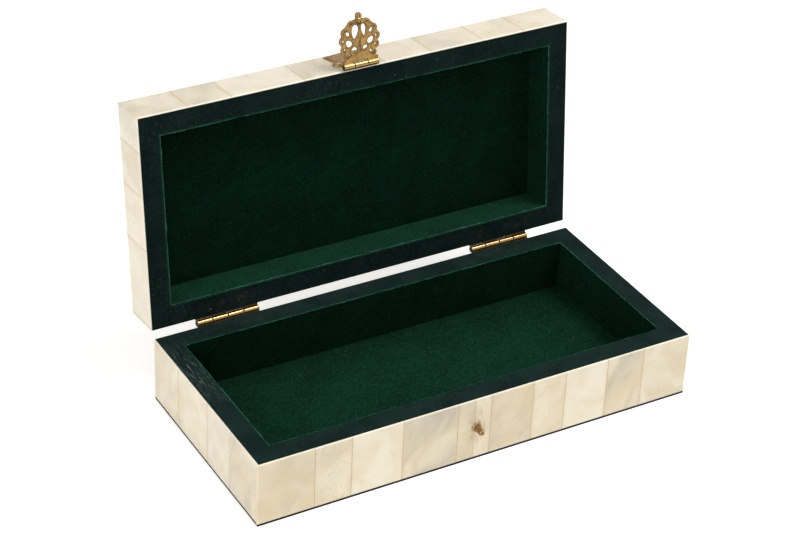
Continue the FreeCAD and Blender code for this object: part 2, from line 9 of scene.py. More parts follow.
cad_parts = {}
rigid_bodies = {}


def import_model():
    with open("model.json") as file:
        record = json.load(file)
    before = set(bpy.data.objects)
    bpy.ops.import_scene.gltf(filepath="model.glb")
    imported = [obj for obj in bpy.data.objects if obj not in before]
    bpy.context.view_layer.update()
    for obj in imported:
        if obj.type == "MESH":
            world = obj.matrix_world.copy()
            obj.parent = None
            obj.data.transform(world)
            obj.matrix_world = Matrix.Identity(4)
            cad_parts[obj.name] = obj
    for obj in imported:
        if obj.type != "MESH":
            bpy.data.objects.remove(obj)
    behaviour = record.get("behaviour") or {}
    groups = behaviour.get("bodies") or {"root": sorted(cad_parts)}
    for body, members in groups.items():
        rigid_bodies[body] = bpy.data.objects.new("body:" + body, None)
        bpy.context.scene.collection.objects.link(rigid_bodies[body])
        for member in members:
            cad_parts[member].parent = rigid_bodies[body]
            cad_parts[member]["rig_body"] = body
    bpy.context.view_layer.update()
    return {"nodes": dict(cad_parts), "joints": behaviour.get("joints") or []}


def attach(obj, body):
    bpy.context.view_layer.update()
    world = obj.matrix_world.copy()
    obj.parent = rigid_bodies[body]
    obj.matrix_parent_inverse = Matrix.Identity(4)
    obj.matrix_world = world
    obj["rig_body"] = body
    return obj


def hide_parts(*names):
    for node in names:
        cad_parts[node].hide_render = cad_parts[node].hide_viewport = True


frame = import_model()
mm = 0.001

# where the lid, the hasp leaf and the stud are at rest
joints = {joint["name"]: joint for joint in frame["joints"]}
hingePoint = Vector(joints["lid_hinge"]["pos_m"])
haspPoint = Vector(joints["hasp_hinge"]["pos_m"])
lidOpen = math.radians(joints["lid_hinge"]["range_deg"][1])
haspLift = math.radians(joints["hasp_hinge"]["range_deg"][1])
openLid = Matrix.Translation(hingePoint) @ Matrix.Rotation(-lidOpen, 4, "X") @ Matrix.Translation(-hingePoint)
stands = {"base": Matrix.Identity(4), "lid": openLid}  # from the shut box to the box at rest
studSides = list(zip(*(vertex.co for vertex in frame["nodes"]["catch_stud"].data.vertices)))
studPlace = Vector([(min(side) + max(side)) / 2 for side in studSides])


def addObject(name, data):
    thing = bpy.data.objects.new(name, data)
    bpy.context.scene.collection.objects.link(thing)
    return thing


# camera and lamps

cameraLook = {
    "place": (-0.53506, -0.86563, 0.72648),
    "right": (0.8699, -0.4917, 0.0392),
    "up": (0.2352, 0.4833, 0.8433),
    "lens": 106.0,
    "sensor": 36.0,
    "nearest": 0.01,
}
lampLook = {
    "key": {"place": (0.49, -0.26, 1.2), "aim": (0.0, 0.03, 0.05), "size": 0.5, "power": 8.0},
    "fill": {"place": (-0.75, -1.35, 0.75), "aim": (0.0, 0.0, 0.05), "size": 1.3, "power": 6.2},
    "left": {"place": (-1.4, -0.3, 0.7), "aim": (0.0, 0.0, 0.05), "size": 1.2, "power": 8.3},
    "right": {"place": (1.35, -0.35, 0.8), "aim": (0.0, 0.0, 0.05), "size": 1.0, "power": 2.0},
}


def addCamera():
    data = bpy.data.cameras.new("camera")
    data.lens = cameraLook["lens"]
    data.sensor_width = cameraLook["sensor"]
    data.clip_start = cameraLook["nearest"]
    right = Vector(cameraLook["right"]).normalized()
    up = Vector(cameraLook["up"])
    up = (up - right * up.dot(right)).normalized()
    turn = Matrix((right, up, right.cross(up))).transposed().to_4x4()
    camera = addObject("camera", data)
    camera.matrix_world = Matrix.Translation(cameraLook["place"]) @ turn
    bpy.context.scene.camera = camera


def addLamps():
    for name, look in lampLook.items():
        data = bpy.data.lights.new(name, "AREA")
        data.shape = "DISK"
        data.size = look["size"]
        data.energy = look["power"]
        way = Vector(look["aim"]) - Vector(look["place"])
        turn = way.to_track_quat("-Z", "Y").to_matrix().to_4x4()
        addObject(name, data).matrix_world = Matrix.Translation(look["place"]) @ turn


addCamera()
addLamps()
bpy.context.scene.view_settings.view_transform = "Standard"


# short forms for nodes

class Nodes:
    def __init__(self, tree):
        self.tree = tree

    def add(self, kind, values=(), **settings):
        node = self.tree.nodes.new(kind)
        for key, value in settings.items():
            setattr(node, key, value)
        for key, value in dict(values).items():
            self.put(node.inputs[key], value)
        return node.outputs

    def put(self, socket, value):
        if isinstance(value, bpy.types.NodeSocket):
            self.tree.links.new(value, socket)
        else:
            socket.default_value = value

    def combine(self, first, second, operation="MULTIPLY"):
        return self.add("ShaderNodeMath", {0: first, 1: second}, operation=operation)[0]

    def vector(self, operation, *values):
        return self.add("ShaderNodeVectorMath", enumerate(values), operation=operation)


class Shade(Nodes):
    def __init__(self, name):
        self.material = bpy.data.materials.new(name)
        self.material.use_nodes = True
        super().__init__(self.material.node_tree)
        self.shader = self.tree.nodes["Principled BSDF"]

    def set(self, **values):
        for key, value in values.items():
            self.put(self.shader.inputs[key.replace("_", " ")], value)

    def objectPlace(self):
        return self.add("ShaderNodeTexCoord")["Object"]

    def mark(self, name, kind="Fac"):
        return self.add("ShaderNodeAttribute", attribute_name=name)[kind]

    def stretch(self, place, scale):
        return self.vector("MULTIPLY", place, scale)[0]

    def length(self, place):
        return self.vector("LENGTH", place)["Value"]

    def parts(self, vector):
        return self.add("ShaderNodeSeparateXYZ", {0: vector})

    def noise(self, place, scale, detail=2.0, rough=0.5, warp=0.0):
        values = {"Vector": place, "Scale": scale, "Detail": detail, "Roughness": rough, "Distortion": warp}
        return self.add("ShaderNodeTexNoise", values)[0]

    def spread(self, value, low, high, toLow=0.0, toHigh=1.0):
        values = {"Value": value, "From Min": low, "From Max": high, "To Min": toLow, "To Max": toHigh}
        return self.add("ShaderNodeMapRange", values, interpolation_type="SMOOTHSTEP")[0]

    def blend(self, share, first, second):
        return self.add("ShaderNodeMix", {0: share, 6: first, 7: second}, data_type="RGBA")[2]

    def bump(self, height, depth, strength):
        values = {"Strength": strength, "Distance": depth, "Height": height}
        self.set(Normal=self.add("ShaderNodeBump", values)[0])


def colour(red, green, blue):
    return (red, green, blue, 1.0)


# floor and backdrop: white to the eye, with the shadow kept

stageLook = {
    "floorHalf": 6.0,
    "paper": colour(0.92, 0.92, 0.92),
    "fleck": colour(0.8, 0.8, 0.8),
    "fleckShare": 0.02,
    "lift": (0.42, 0.7),  # glow of the paper near the box and far from it
    "liftReach": (0.35, 1.6),
    "worldFill": 0.42,
}


def seenRays(nodes):
    path = nodes.add("ShaderNodeLightPath")
    seen = path["Is Camera Ray"]
    for ray in ("Is Glossy Ray", "Is Transmission Ray"):
        seen = nodes.combine(seen, path[ray], "MAXIMUM")
    return seen


def addFloor():
    half = stageLook["floorHalf"]
    mesh = bpy.data.meshes.new("floor")
    corners = [(-half, -half, 0), (half, -half, 0), (half, half, 0), (-half, half, 0)]
    mesh.from_pydata(corners, [], [(0, 1, 2, 3)])
    floor = addObject("floor", mesh)
    shade = Shade("floorPaper")
    place = shade.objectPlace()
    fleck = shade.spread(shade.noise(place, 900.0), 0.3, 0.7, 0.0, stageLook["fleckShare"])
    shade.set(Base_Color=shade.blend(fleck, stageLook["paper"], stageLook["fleck"]))
    shade.set(Roughness=1.0, Specular_IOR_Level=0.0, Emission_Color=colour(1, 1, 1))
    lift = shade.spread(shade.length(place), *stageLook["liftReach"], *stageLook["lift"])
    shade.set(Emission_Strength=shade.combine(seenRays(shade), lift))
    mesh.materials.append(shade.material)


def addWorld():
    world = bpy.data.worlds.new("studio")
    world.use_nodes = True
    bpy.context.scene.world = world
    nodes = Nodes(world.node_tree)
    backdrop = world.node_tree.nodes["Background"]
    values = {"Value": seenRays(nodes), "To Min": stageLook["worldFill"], "To Max": 1.0}
    nodes.put(backdrop.inputs["Color"], colour(1, 1, 1))
    nodes.put(backdrop.inputs["Strength"], nodes.add("ShaderNodeMapRange", values)[0])


addFloor()
addWorld()
print("stage: camera, lamps, floor and world")


# materials: colours in a dictionary each, patterns in the nodes

boneLook = {
    "pale": colour(0.85, 0.782, 0.635),
    "warm": colour(0.69, 0.575, 0.375),
    "mist": colour(0.56, 0.5, 0.385),
    "vein": colour(0.41, 0.35, 0.255),
    "fibre": colour(0.62, 0.5, 0.33),
    "pore": colour(0.36, 0.25, 0.13),
    "blot": colour(0.64, 0.475, 0.255),
    "studStain": colour(0.41, 0.25, 0.1),
    "studReach": (2.0 * mm, 7.5 * mm),
    "besideSeam": colour(0.7, 0.55, 0.33),
    "seam": colour(0.5, 0.36, 0.19),
    # painted highlight along the arrises, paler than the bone
    "edgeHighlight": colour(0.93, 0.87, 0.74),
    "gloss": (0.26, 0.42),
}


def boneMaterial():
    look = boneLook
    shade = Shade("bone")
    place = shade.objectPlace()
    grain = shade.mark("grain", "Vector")
    tone, grey, stain = shade.parts(shade.mark("tileLook", "Vector"))
    cloud = shade.spread(shade.noise(grain, 0.065, 2.0, 0.4, 0.6), 0.28, 0.72)
    warm = shade.combine(shade.combine(tone, 0.7), shade.combine(cloud, 0.36), "ADD")
    body = shade.blend(shade.spread(warm, 0.08, 1.0), look["pale"], look["warm"])
    mist = shade.noise(shade.stretch(grain, (0.035, 0.065, 0.05)), 1.0, 2.0, 0.4, 0.7)
    misty = shade.combine(shade.spread(mist, 0.3, 0.72), grey)
    body = shade.blend(misty, body, look["mist"])
    bend = shade.noise(shade.stretch(grain, (0.026, 0.075, 0.05)), 1.0, 2.0, 0.4, 0.9)
    offVein = shade.combine(shade.combine(bend, 0.5, "SUBTRACT"), 0.0, "ABSOLUTE")
    vein = shade.spread(offVein, 0.0, 0.085, 0.36, 0.0)
    body = shade.blend(shade.combine(vein, misty), body, look["vein"])
    fibre = shade.noise(shade.stretch(grain, (0.05, 2.4, 0.4)), 1.0, 3.0, 0.5)
    body = shade.blend(shade.spread(fibre, 0.4, 0.75, 0.0, 0.09), body, look["fibre"])
    pore = shade.noise(shade.stretch(grain, (0.5, 3.2, 1.0)), 1.0, 2.0, 0.5)
    body = shade.blend(shade.spread(pore, 0.7, 0.78, 0.0, 0.07), body, look["pore"])
    blot = shade.spread(shade.noise(grain, 0.14, 2.0, 0.5, 1.8), 0.56, 0.78)
    body = shade.blend(shade.combine(blot, stain), body, look["blot"])

    # the brass has stained the bone around the stud
    fromStud = shade.length(shade.stretch(shade.vector("SUBTRACT", place, studPlace)[0], (1.0, 1.0, 0.5)))
    streak = shade.noise(shade.stretch(place, (700.0, 700.0, 170.0)), 1.0, 3.0, 0.6, 0.9)
    nearStud = shade.spread(fromStud, *look["studReach"], 0.62, 0.0)
    body = shade.blend(shade.combine(nearStud, shade.spread(streak, 0.36, 0.66)), body, look["studStain"])

    nearSeam = shade.mark("seamNear")
    body = shade.blend(shade.spread(nearSeam, 0.0, 1.0, 0.0, 0.24), body, look["besideSeam"])
    ragged = shade.spread(shade.noise(grain, 0.5, 3.0, 0.6), 0.3, 0.7, 0.15, 1.0)
    seam = shade.combine(shade.spread(nearSeam, 0.82, 0.98, 0.0, 0.5), ragged)
    body = shade.blend(seam, body, look["seam"])
    # painted highlight along the arrises of the box
    wearAndHighlight = shade.spread(shade.mark("edgeNear"), 0.3, 0.95, 0.0, 0.6)
    body = shade.blend(wearAndHighlight, body, look["edgeHighlight"])
    polish = shade.spread(shade.noise(grain, 0.35, 3.0, 0.6), 0.25, 0.75, *look["gloss"])
    shade.set(Base_Color=body, Roughness=polish, Specular_IOR_Level=0.45)
    shade.bump(shade.combine(fibre, shade.combine(pore, 0.6), "SUBTRACT"), 0.04 * mm, 0.5)
    return shade.material


def glueMaterial():
    shade = Shade("seamGlue")
    grit = shade.noise(shade.objectPlace(), 1800.0, 3.0, 0.6)
    body = shade.blend(grit, colour(0.53, 0.38, 0.2), colour(0.71, 0.57, 0.37))
    shade.set(Base_Color=body, Roughness=0.7)
    return shade.material


velvetLook = {
    # shaded and lit copies of the velvet: painted shade and painted light
    "dark": (colour(0.0008, 0.0055, 0.003), colour(0.0014, 0.0092, 0.0052)),
    "light": (colour(0.0046, 0.027, 0.0155), colour(0.0066, 0.0372, 0.0219)),
    "hollow": colour(0.0006, 0.0045, 0.0024),
    "speck": colour(0.0135, 0.066, 0.041),
    "sheen": colour(0.16, 0.55, 0.36),
}


def velvetMaterial():
    look = velvetLook
    shade = Shade("greenVelvet")
    place = shade.objectPlace()
    paintedLight = shade.mark("paintedLight")  # painted light and shade per board: 0 shaded, 1 lit
    swath = shade.spread(shade.noise(place, 46.0, 4.0, 0.6, 0.5), 0.3, 0.7)
    tuft = shade.noise(place, 760.0, 3.0, 0.8)
    pile = shade.blend(paintedLight, shade.blend(swath, *look["dark"]), shade.blend(swath, *look["light"]))
    pile = shade.blend(shade.spread(tuft, 0.25, 0.5, 0.75, 0.0), pile, look["hollow"])
    speck = shade.combine(shade.spread(tuft, 0.5, 0.75), shade.spread(paintedLight, 0.0, 1.0, 0.22, 1.0))
    pile = shade.blend(speck, pile, look["speck"])
    shade.set(Base_Color=pile, Roughness=1.0, Specular_IOR_Level=0.02, Sheen_Roughness=0.4)
    shade.set(Sheen_Weight=shade.spread(paintedLight, 0.0, 1.0, 0.03, 0.12), Sheen_Tint=look["sheen"])
    shade.bump(tuft, 0.3 * mm, 0.6)
    return shade.material


def fringeMaterial():
    shade = Shade("velvetFringe")
    strand = shade.noise(shade.objectPlace(), 400.0)
    # the strands are far lighter than the velvet: a painted highlight along the cut edge
    shade.set(Base_Color=shade.blend(strand, colour(0.03, 0.15, 0.095), colour(0.2, 0.5, 0.35)))
    shade.set(Roughness=1.0, Specular_IOR_Level=0.02)
    shade.set(Sheen_Weight=0.1, Sheen_Roughness=0.4, Sheen_Tint=colour(0.25, 0.6, 0.42))
    return shade.material


rimColours = {
    # shaded and lit copies of the covering: painted shade and painted light
    "dark": (colour(0.0014, 0.0052, 0.0044), colour(0.0034, 0.0092, 0.008)),
    "light": (colour(0.0066, 0.0166, 0.0143), colour(0.0112, 0.0258, 0.0222)),
    "fleck": colour(0.024, 0.039, 0.036),
    "scuff": colour(0.16, 0.18, 0.165),
    "speck": colour(0.14, 0.15, 0.135),
    "wearAndHighlight": colour(0.115, 0.085, 0.045),
}


def rimMaterial():
    look = rimColours
    shade = Shade("rimCovering")
    place = shade.objectPlace()
    fleck = shade.noise(place, 900.0, 3.0, 0.65)
    cloud = shade.noise(place, 60.0, 3.0, 0.55, 0.4)
    swath = shade.spread(cloud, 0.3, 0.7)
    dark, light = shade.blend(swath, *look["dark"]), shade.blend(swath, *look["light"])
    # painted light and shade: the base's rim takes the lit copy, the lid's rim mostly the shaded one
    skin = shade.blend(shade.mark("paintedLight"), dark, light)
    skin = shade.blend(shade.spread(fleck, 0.5, 0.82, 0.0, 0.5), skin, look["fleck"])
    stroke = shade.noise(shade.stretch(place, (1300.0, 120.0, 500.0)), 1.0, 4.0, 0.65, 1.1)
    rubbed = shade.spread(shade.mark("scuff"), 0.0, 0.6, 0.04, 1.0)
    marks = shade.combine(shade.spread(stroke, 0.51, 0.7), rubbed)
    skin = shade.blend(marks, skin, look["scuff"])
    speck = shade.spread(shade.noise(place, 420.0), 0.73, 0.8, 0.0, 0.5)
    skin = shade.blend(speck, skin, look["speck"])
    patch = shade.spread(shade.noise(place, 260.0, 4.0, 0.7, 0.6), 0.52, 0.72)
    wearAndHighlight = shade.combine(patch, shade.mark("wear"))
    skin = shade.blend(shade.combine(wearAndHighlight, 0.17), skin, look["wearAndHighlight"])
    rough = shade.spread(cloud, 0.2, 0.8, 0.62, 0.8)
    shade.set(Base_Color=skin, Roughness=rough, Specular_IOR_Level=0.01)
    shade.bump(shade.combine(fleck, marks, "SUBTRACT"), 0.1 * mm, 0.6)
    return shade.material


def feltMaterial():
    shade = Shade("darkFelt")
    wool = shade.noise(shade.objectPlace(), 1300.0, 4.0, 0.7, 1.2)
    shade.set(Base_Color=shade.blend(wool, colour(0.006, 0.006, 0.006), colour(0.026, 0.026, 0.025)))
    shade.set(Roughness=1.0, Specular_IOR_Level=0.05, Sheen_Weight=0.1, Sheen_Roughness=0.5)
    shade.bump(wool, 0.4 * mm, 0.8)
    return shade.material


def woodMaterial():
    shade = Shade("boxWood")
    place = shade.objectPlace()
    ring = shade.noise(shade.stretch(place, (12.0, 160.0, 160.0)), 1.0, 5.0, 0.6, 0.8)
    fibre = shade.noise(shade.stretch(place, (60.0, 2200.0, 2200.0)), 1.0)
    body = shade.blend(shade.spread(ring, 0.3, 0.7), colour(0.34, 0.2, 0.1), colour(0.5, 0.32, 0.17))
    body = shade.blend(shade.spread(fibre, 0.4, 0.8, 0.0, 0.4), body, colour(0.2, 0.11, 0.05))
    shade.set(Base_Color=body, Roughness=0.6)
    shade.bump(fibre, 0.06 * mm, 0.5)
    return shade.material


brassLook = {
    "polishedBrass": {
        "bright": colour(0.35, 0.205, 0.062),
        "tarnishAndShade": colour(0.26, 0.148, 0.041),
        "gloss": (0.14, 0.19),
    },
    "agedBrass": {
        "bright": colour(0.45, 0.275, 0.092),
        "tarnishAndShade": colour(0.24, 0.138, 0.044),
        "gloss": (0.11, 0.2),
    },
}


def brassMaterial(name):
    look = brassLook[name]
    shade = Shade(name)
    place = shade.objectPlace()
    tarnish = shade.noise(place, 130.0, 2.0, 0.4, 0.3)
    scratch = shade.noise(place, 3200.0)
    grimeAndShade = shade.mark("patinaAndShade")  # darker in the knuckle joints, on the hinge leaves and in the stud's corners: dirt and painted shade
    body = shade.blend(shade.spread(tarnish, 0.42, 0.78), look["bright"], look["tarnishAndShade"])
    body = shade.blend(shade.spread(grimeAndShade, 0.1, 1.0, 0.0, 0.97), body, colour(0.009, 0.007, 0.004))
    rough = shade.spread(shade.combine(scratch, tarnish, "ADD"), 0.7, 1.3, *look["gloss"])
    rough = shade.combine(rough, shade.spread(grimeAndShade, 0.2, 1.0, 0.0, 0.6), "ADD")
    shade.set(Base_Color=body, Metallic=shade.spread(grimeAndShade, 0.3, 1.0, 1.0, 0.1), Roughness=rough)
    shade.set(Coat_Weight=0.5, Coat_Roughness=0.1)  # a thin lacquer
    shade.bump(scratch, 0.004 * mm, 0.2)
    return shade.material


engravedLook = {
    "bright": colour(0.385, 0.235, 0.08),
    "tarnishAndShade": colour(0.2, 0.117, 0.036),
    "cloud": colour(0.11, 0.063, 0.019),
    "cut": colour(0.03, 0.018, 0.007),
}


def engravedMaterial():
    look = engravedLook
    shade = Shade("engravedBrass")
    place = shade.objectPlace()
    patinaAndShade = shade.mark("patinaAndShade")  # 1 at the bottom of an engraved mark; also raised on the cut sides, the back and along the rounded edges: painted shade
    tarnish = shade.noise(place, 420.0, 4.0, 0.65, 0.6)
    body = shade.blend(shade.spread(tarnish, 0.35, 0.75), look["bright"], look["tarnishAndShade"])
    cloud = shade.spread(shade.noise(place, 150.0, 3.0, 0.6), 0.5, 0.75, 0.0, 0.5)
    body = shade.blend(cloud, body, look["cloud"])
    body = shade.blend(shade.spread(patinaAndShade, 0.15, 0.9, 0.0, 0.92), body, look["cut"])
    shade.set(Base_Color=body, Metallic=shade.spread(patinaAndShade, 0.2, 1.0, 1.0, 0.55))
    rough = shade.combine(tarnish, shade.combine(patinaAndShade, 0.5), "ADD")
    shade.set(Roughness=shade.spread(rough, 0.3, 1.0, 0.27, 0.6))
    shade.bump(shade.noise(place, 1600.0, 3.0, 0.6), 0.03 * mm, 0.5)
    return shade.material


def steelMaterial():
    shade = Shade("screwSteel")
    turned = shade.noise(shade.objectPlace(), 1500.0, 3.0, 0.6)
    shade.set(Base_Color=shade.blend(turned, colour(0.42, 0.41, 0.4), colour(0.6, 0.59, 0.57)), Metallic=1.0)
    shade.set(Roughness=shade.spread(turned, 0.3, 0.7, 0.28, 0.42))
    return shade.material


materials = {
    "bone": boneMaterial(),
    "glue": glueMaterial(),
    "velvet": velvetMaterial(),
    "fringe": fringeMaterial(),
    "rim_covering": rimMaterial(),
    "felt": feltMaterial(),
    "wood": woodMaterial(),
    "polished_brass": brassMaterial("polishedBrass"),
    "aged_brass": brassMaterial("agedBrass"),
    "engraved": engravedMaterial(),
    "steel": steelMaterial(),
}
print("materials:", ", ".join(sorted(materials)))


# boards with rounded edges: bone tiles, linings and felt are all made from these

facing = {  # the two directions across each face of the box
    "front": (Vector((1, 0, 0)), Vector((0, 0, 1))),
    "back": (Vector((-1, 0, 0)), Vector((0, 0, 1))),
    "left": (Vector((0, -1, 0)), Vector((0, 0, 1))),
    "right": (Vector((0, 1, 0)), Vector((0, 0, 1))),
    "up": (Vector((1, 0, 0)), Vector((0, 1, 0))),
    "down": (Vector((1, 0, 0)), Vector((0, -1, 0))),
}
boardLook = {"roundSteps": 4, "edgeLines": (0.35 * mm, 1.2 * mm, 2.4 * mm), "leastGap": 0.012 * mm}


def boardLines(size, rounds, cell):
    count = boardLook["roundSteps"]
    lines = [0.0, size]
    for atHigh, radius in enumerate(rounds):
        steps = [radius * (1 - math.cos(math.pi / 2 * k / count)) for k in range(1, count + 1)]
        near = [step for step in steps + list(boardLook["edgeLines"]) if step < size / 2]
        lines += [size - step if atHigh else step for step in near]
    cells = max(1, round(size / cell))
    lines += [size * k / cells for k in range(1, cells)]
    kept = []
    for line in sorted(lines):
        if not kept or line - kept[-1] > boardLook["leastGap"]:
            kept.append(line)
    kept[-1] = size
    return kept


def roundDrop(distance, radius):
    if distance >= radius:
        return 0.0
    return radius - math.sqrt(radius ** 2 - (radius - distance) ** 2)


def roundedBoard(low, high, face, rounds, cell, wave=None, sink=0.0):
    across, upward = facing[face]
    out = across.cross(upward)
    corner = Vector()
    for axis in range(3):
        fromHigh = out[axis] > 0 or across[axis] + upward[axis] < 0
        corner[axis] = high[axis] if fromHigh else low[axis]
    extent = high - low
    sizes = [abs(extent.dot(way)) for way in (across, upward, out)]
    columns = boardLines(sizes[0], rounds[0], cell)
    rows = boardLines(sizes[1], rounds[1], cell)
    points, flats = [], []
    for u in columns:
        for v in rows:
            drops = [roundDrop(u, rounds[0][0]), roundDrop(sizes[0] - u, rounds[0][1]),
                     roundDrop(v, rounds[1][0]), roundDrop(sizes[1] - v, rounds[1][1])]
            depth = max(drops) + sink
            if wave:
                depth -= wave(u, v)
            points.append(corner + across * u + upward * v - out * depth)
            flats.append((u, v))
    wide, tall = len(columns), len(rows)
    faces = [(i * tall + j, (i + 1) * tall + j, (i + 1) * tall + j + 1, i * tall + j + 1)
             for i in range(wide - 1) for j in range(tall - 1)]
    smooth = len(faces)
    rim = [i * tall for i in range(wide)] + [(wide - 1) * tall + j for j in range(1, tall)]
    rim += [i * tall + tall - 1 for i in range(wide - 2, -1, -1)] + [j for j in range(tall - 2, 0, -1)]
    backRim = list(range(len(points), len(points) + len(rim)))
    for index in rim:
        u, v = flats[index]
        points.append(corner + across * u + upward * v - out * sizes[2])
        flats.append((u, v))
    for k, index in enumerate(rim):
        following = (k + 1) % len(rim)
        faces.append((index, backRim[k], backRim[following], rim[following]))
    faces.append(tuple(reversed(backRim)))
    return {"points": points, "faces": faces, "smooth": smooth, "flats": flats, "sizes": sizes}


# pieces from parts: each part has points, faces and marks for its material

markKinds = {"grain": "FLOAT_VECTOR", "tileLook": "FLOAT_VECTOR", "seamNear": "FLOAT", "scuff": "FLOAT",
             "edgeNear": "FLOAT", "wear": "FLOAT", "patinaAndShade": "FLOAT", "paintedLight": "FLOAT"}


def makePiece(name, parts, stand, slots, crease=None):
    points, faces, smooth, slotOf, marks = [], [], [], [], {}
    for part in parts:
        start = len(points)
        points += [stand @ point for point in part["points"]]
        faces += [[start + index for index in face] for face in part["faces"]]
        smooth += [k < part["smooth"] for k in range(len(part["faces"]))]
        slotOf += [part.get("slot", 0)] * len(part["faces"])
        for key, values in part.get("marks", {}).items():
            marks.setdefault(key, {})[start] = values
    mesh = bpy.data.meshes.new(name)
    mesh.from_pydata(points, [], faces)
    mesh.polygons.foreach_set("use_smooth", smooth)
    mesh.polygons.foreach_set("material_index", slotOf)
    for key, runs in marks.items():
        layer = mesh.attributes.new(key, markKinds[key], "POINT")
        field = "vector" if markKinds[key] == "FLOAT_VECTOR" else "value"
        for start, values in runs.items():
            for offset, value in enumerate(values):
                setattr(layer.data[start + offset], field, value)
    for slot in slots:
        mesh.materials.append(materials[slot])
    mesh.update()
    if crease:
        shell = bmesh.new()
        shell.from_mesh(mesh)
        bmesh.ops.recalc_face_normals(shell, faces=shell.faces)
        shell.to_mesh(mesh)
        shell.free()
        mesh.set_sharp_from_angle(angle=math.radians(crease))
    return addObject(name, mesh)


def settle(piece, body, slot, *nodes):
    if nodes:
        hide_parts(*nodes)
    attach(piece, body)


# reading the shut box from the frame

def shutPoints(node):
    thing = frame["nodes"][node]
    shut = stands[thing["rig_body"]].inverted()
    return [shut @ vertex.co for vertex in thing.data.vertices]


def span(points):
    low = Vector([min(point[axis] for point in points) for axis in range(3)])
    high = Vector([max(point[axis] for point in points) for axis in range(3)])
    return low, high


def shutBox(node):
    return span(shutPoints(node))


def separateTiles(node):
    thing = frame["nodes"][node]
    keys = [tuple(vertex.co) for vertex in thing.data.vertices]
    leader = {key: key for key in keys}

    def lead(key):
        while leader[key] != key:
            leader[key] = leader[leader[key]]
            key = leader[key]
        return key

    for polygon in thing.data.polygons:
        first = lead(keys[polygon.vertices[0]])
        for index in polygon.vertices[1:]:
            leader[lead(keys[index])] = first
    groups = {}
    for key, point in zip(keys, shutPoints(node)):
        groups.setdefault(lead(key), []).append(point)
    return [span(points) for points in groups.values()]


# bone tiles: one slab for each tile of the frame, with brown glue in the joints

tileLook = {
    "arris": 0.6 * mm,
    "seamEdge": 0.05 * mm,
    "cell": 9.0 * mm,
    "seamFade": 2.4 * mm,
    "edgeFade": 1.2 * mm,
    "edgeHighlightShare": (0.45, 1.0),  # painted highlight on the arrises: at the ends of a face, and along its top and bottom
    "glueSink": 0.06 * mm,
    "touch": 0.01 * mm,
    "grainLean": (48, 80),
    "grainWays": (1, 1, 1, -1),
    "grainShift": 900,
    "grainDepth": 0.05,
    "seed": 11,
    "glueSeed": 1,
    "tones": {  # pale to warm, clear to grey, stained: as the photographed faces show them, left to right
        "base_front_tiles": [(0.8, 0.25, 0.2), (0.5, 0.35, 0.7), (0.3, 0.03, 0.0), (0.7, 0.95, 0.0),
                             (0.8, 0.5, 0.5), (0.6, 0.3, 0.6), (0.85, 0.6, 0.2), (0.6, 0.12, 0.3),
                             (0.25, 0.03, 0.1), (0.7, 1.0, 0.0), (0.5, 0.15, 0.3)],
        "base_left_tiles": [(0.6, 0.6, 0.2), (0.2, 0.4, 0.1), (0.45, 0.05, 0.1), (0.45, 0.5, 0.2)],
        "lid_front_tiles": [(0.4, 0.45, 0.3), (0.5, 0.5, 0.3), (0.1, 0.05, 0.1), (0.45, 0.5, 0.9),
                            (0.45, 0.35, 0.8), (0.3, 0.1, 0.2), (0.3, 0.5, 0.1), (0.35, 0.2, 0.6),
                            (0.4, 0.12, 0.3)],
        "lid_left_tiles": [(0.12, 0.45, 0.1), (0.35, 0.25, 0.3), (0.3, 0.05, 0.1), (0.12, 0.1, 0.1)],
    },
    "wildTones": {"warm": (0.15, 0.8), "grey": (0.0, 0.8), "stain": (0.0, 0.6)},  # the faces not photographed
}
tileFaces = {"front": 0, "back": 0, "left": 1, "right": 1, "top": 0}  # the axis along which each row runs


def tilePart(low, high, face, outer, look, dice, sink=0.0):
    rounds = []
    for way in facing[face]:
        axis = max(range(3), key=lambda k: abs(way[k]))
        ends = [low[axis], high[axis]]
        if way[axis] < 0:
            ends.reverse()
        gaps = [min(abs(end - outer[0][axis]), abs(end - outer[1][axis])) for end in ends]
        kinds = ["arris" if gap < tileLook["touch"] else "seamEdge" for gap in gaps]
        rounds.append([tileLook[kind] for kind in kinds])
    part = roundedBoard(low, high, face, rounds, tileLook["cell"], sink=sink)
    angle = math.radians(dice.uniform(*tileLook["grainLean"]) * dice.choice(tileLook["grainWays"]))
    shift = Vector([dice.uniform(0, tileLook["grainShift"]) for axis in range(3)])
    sides = list(zip(part["sizes"], rounds, tileLook["edgeHighlightShare"]))
    grain, seamNear, edgeNear = [], [], []
    for point, flat in zip(part["points"], part["flats"]):
        u, v = flat
        along = (u * math.cos(angle) + v * math.sin(angle)) / mm
        beside = (v * math.cos(angle) - u * math.sin(angle)) / mm
        inward = (point.x + point.y + point.z) * tileLook["grainDepth"] / mm
        grain.append(Vector((along, beside, inward)) + shift)
        seams, edges = [tileLook["seamFade"]], [tileLook["edgeFade"]]
        # the arrises get a painted highlight, stronger along the top and bottom than at the ends
        for place, (size, ends, wearAndHighlight) in zip(flat, sides):
            for gap, radius in zip((place, size - place), ends):
                if radius == tileLook["seamEdge"]:
                    seams.append(gap)
                else:
                    edges.append(tileLook["edgeFade"] * (1 - wearAndHighlight * max(0.0, 1 - gap / tileLook["edgeFade"])))
        seamNear.append(1 - min(seams) / tileLook["seamFade"])
        edgeNear.append(1 - min(edges) / tileLook["edgeFade"])
    part["marks"] = {"grain": grain, "seamNear": seamNear, "edgeNear": edgeNear,
                     "tileLook": [Vector(look)] * len(grain)}
    return part


def glueParts(boxes, face, axis, outer):
    parts = []
    ordered = sorted(boxes, key=lambda box: box[0][axis])
    for before, after in zip(ordered, ordered[1:]):
        low, high = before[0].copy(), before[1].copy()
        low[axis], high[axis] = before[1][axis], after[0][axis]
        if high[axis] - low[axis] > tileLook["touch"]:
            dice = random.Random(tileLook["glueSeed"])
            part = tilePart(low, high, face, outer, (0, 0, 0), dice, tileLook["glueSink"])
            part["slot"] = 1
            parts.append(part)
    return parts


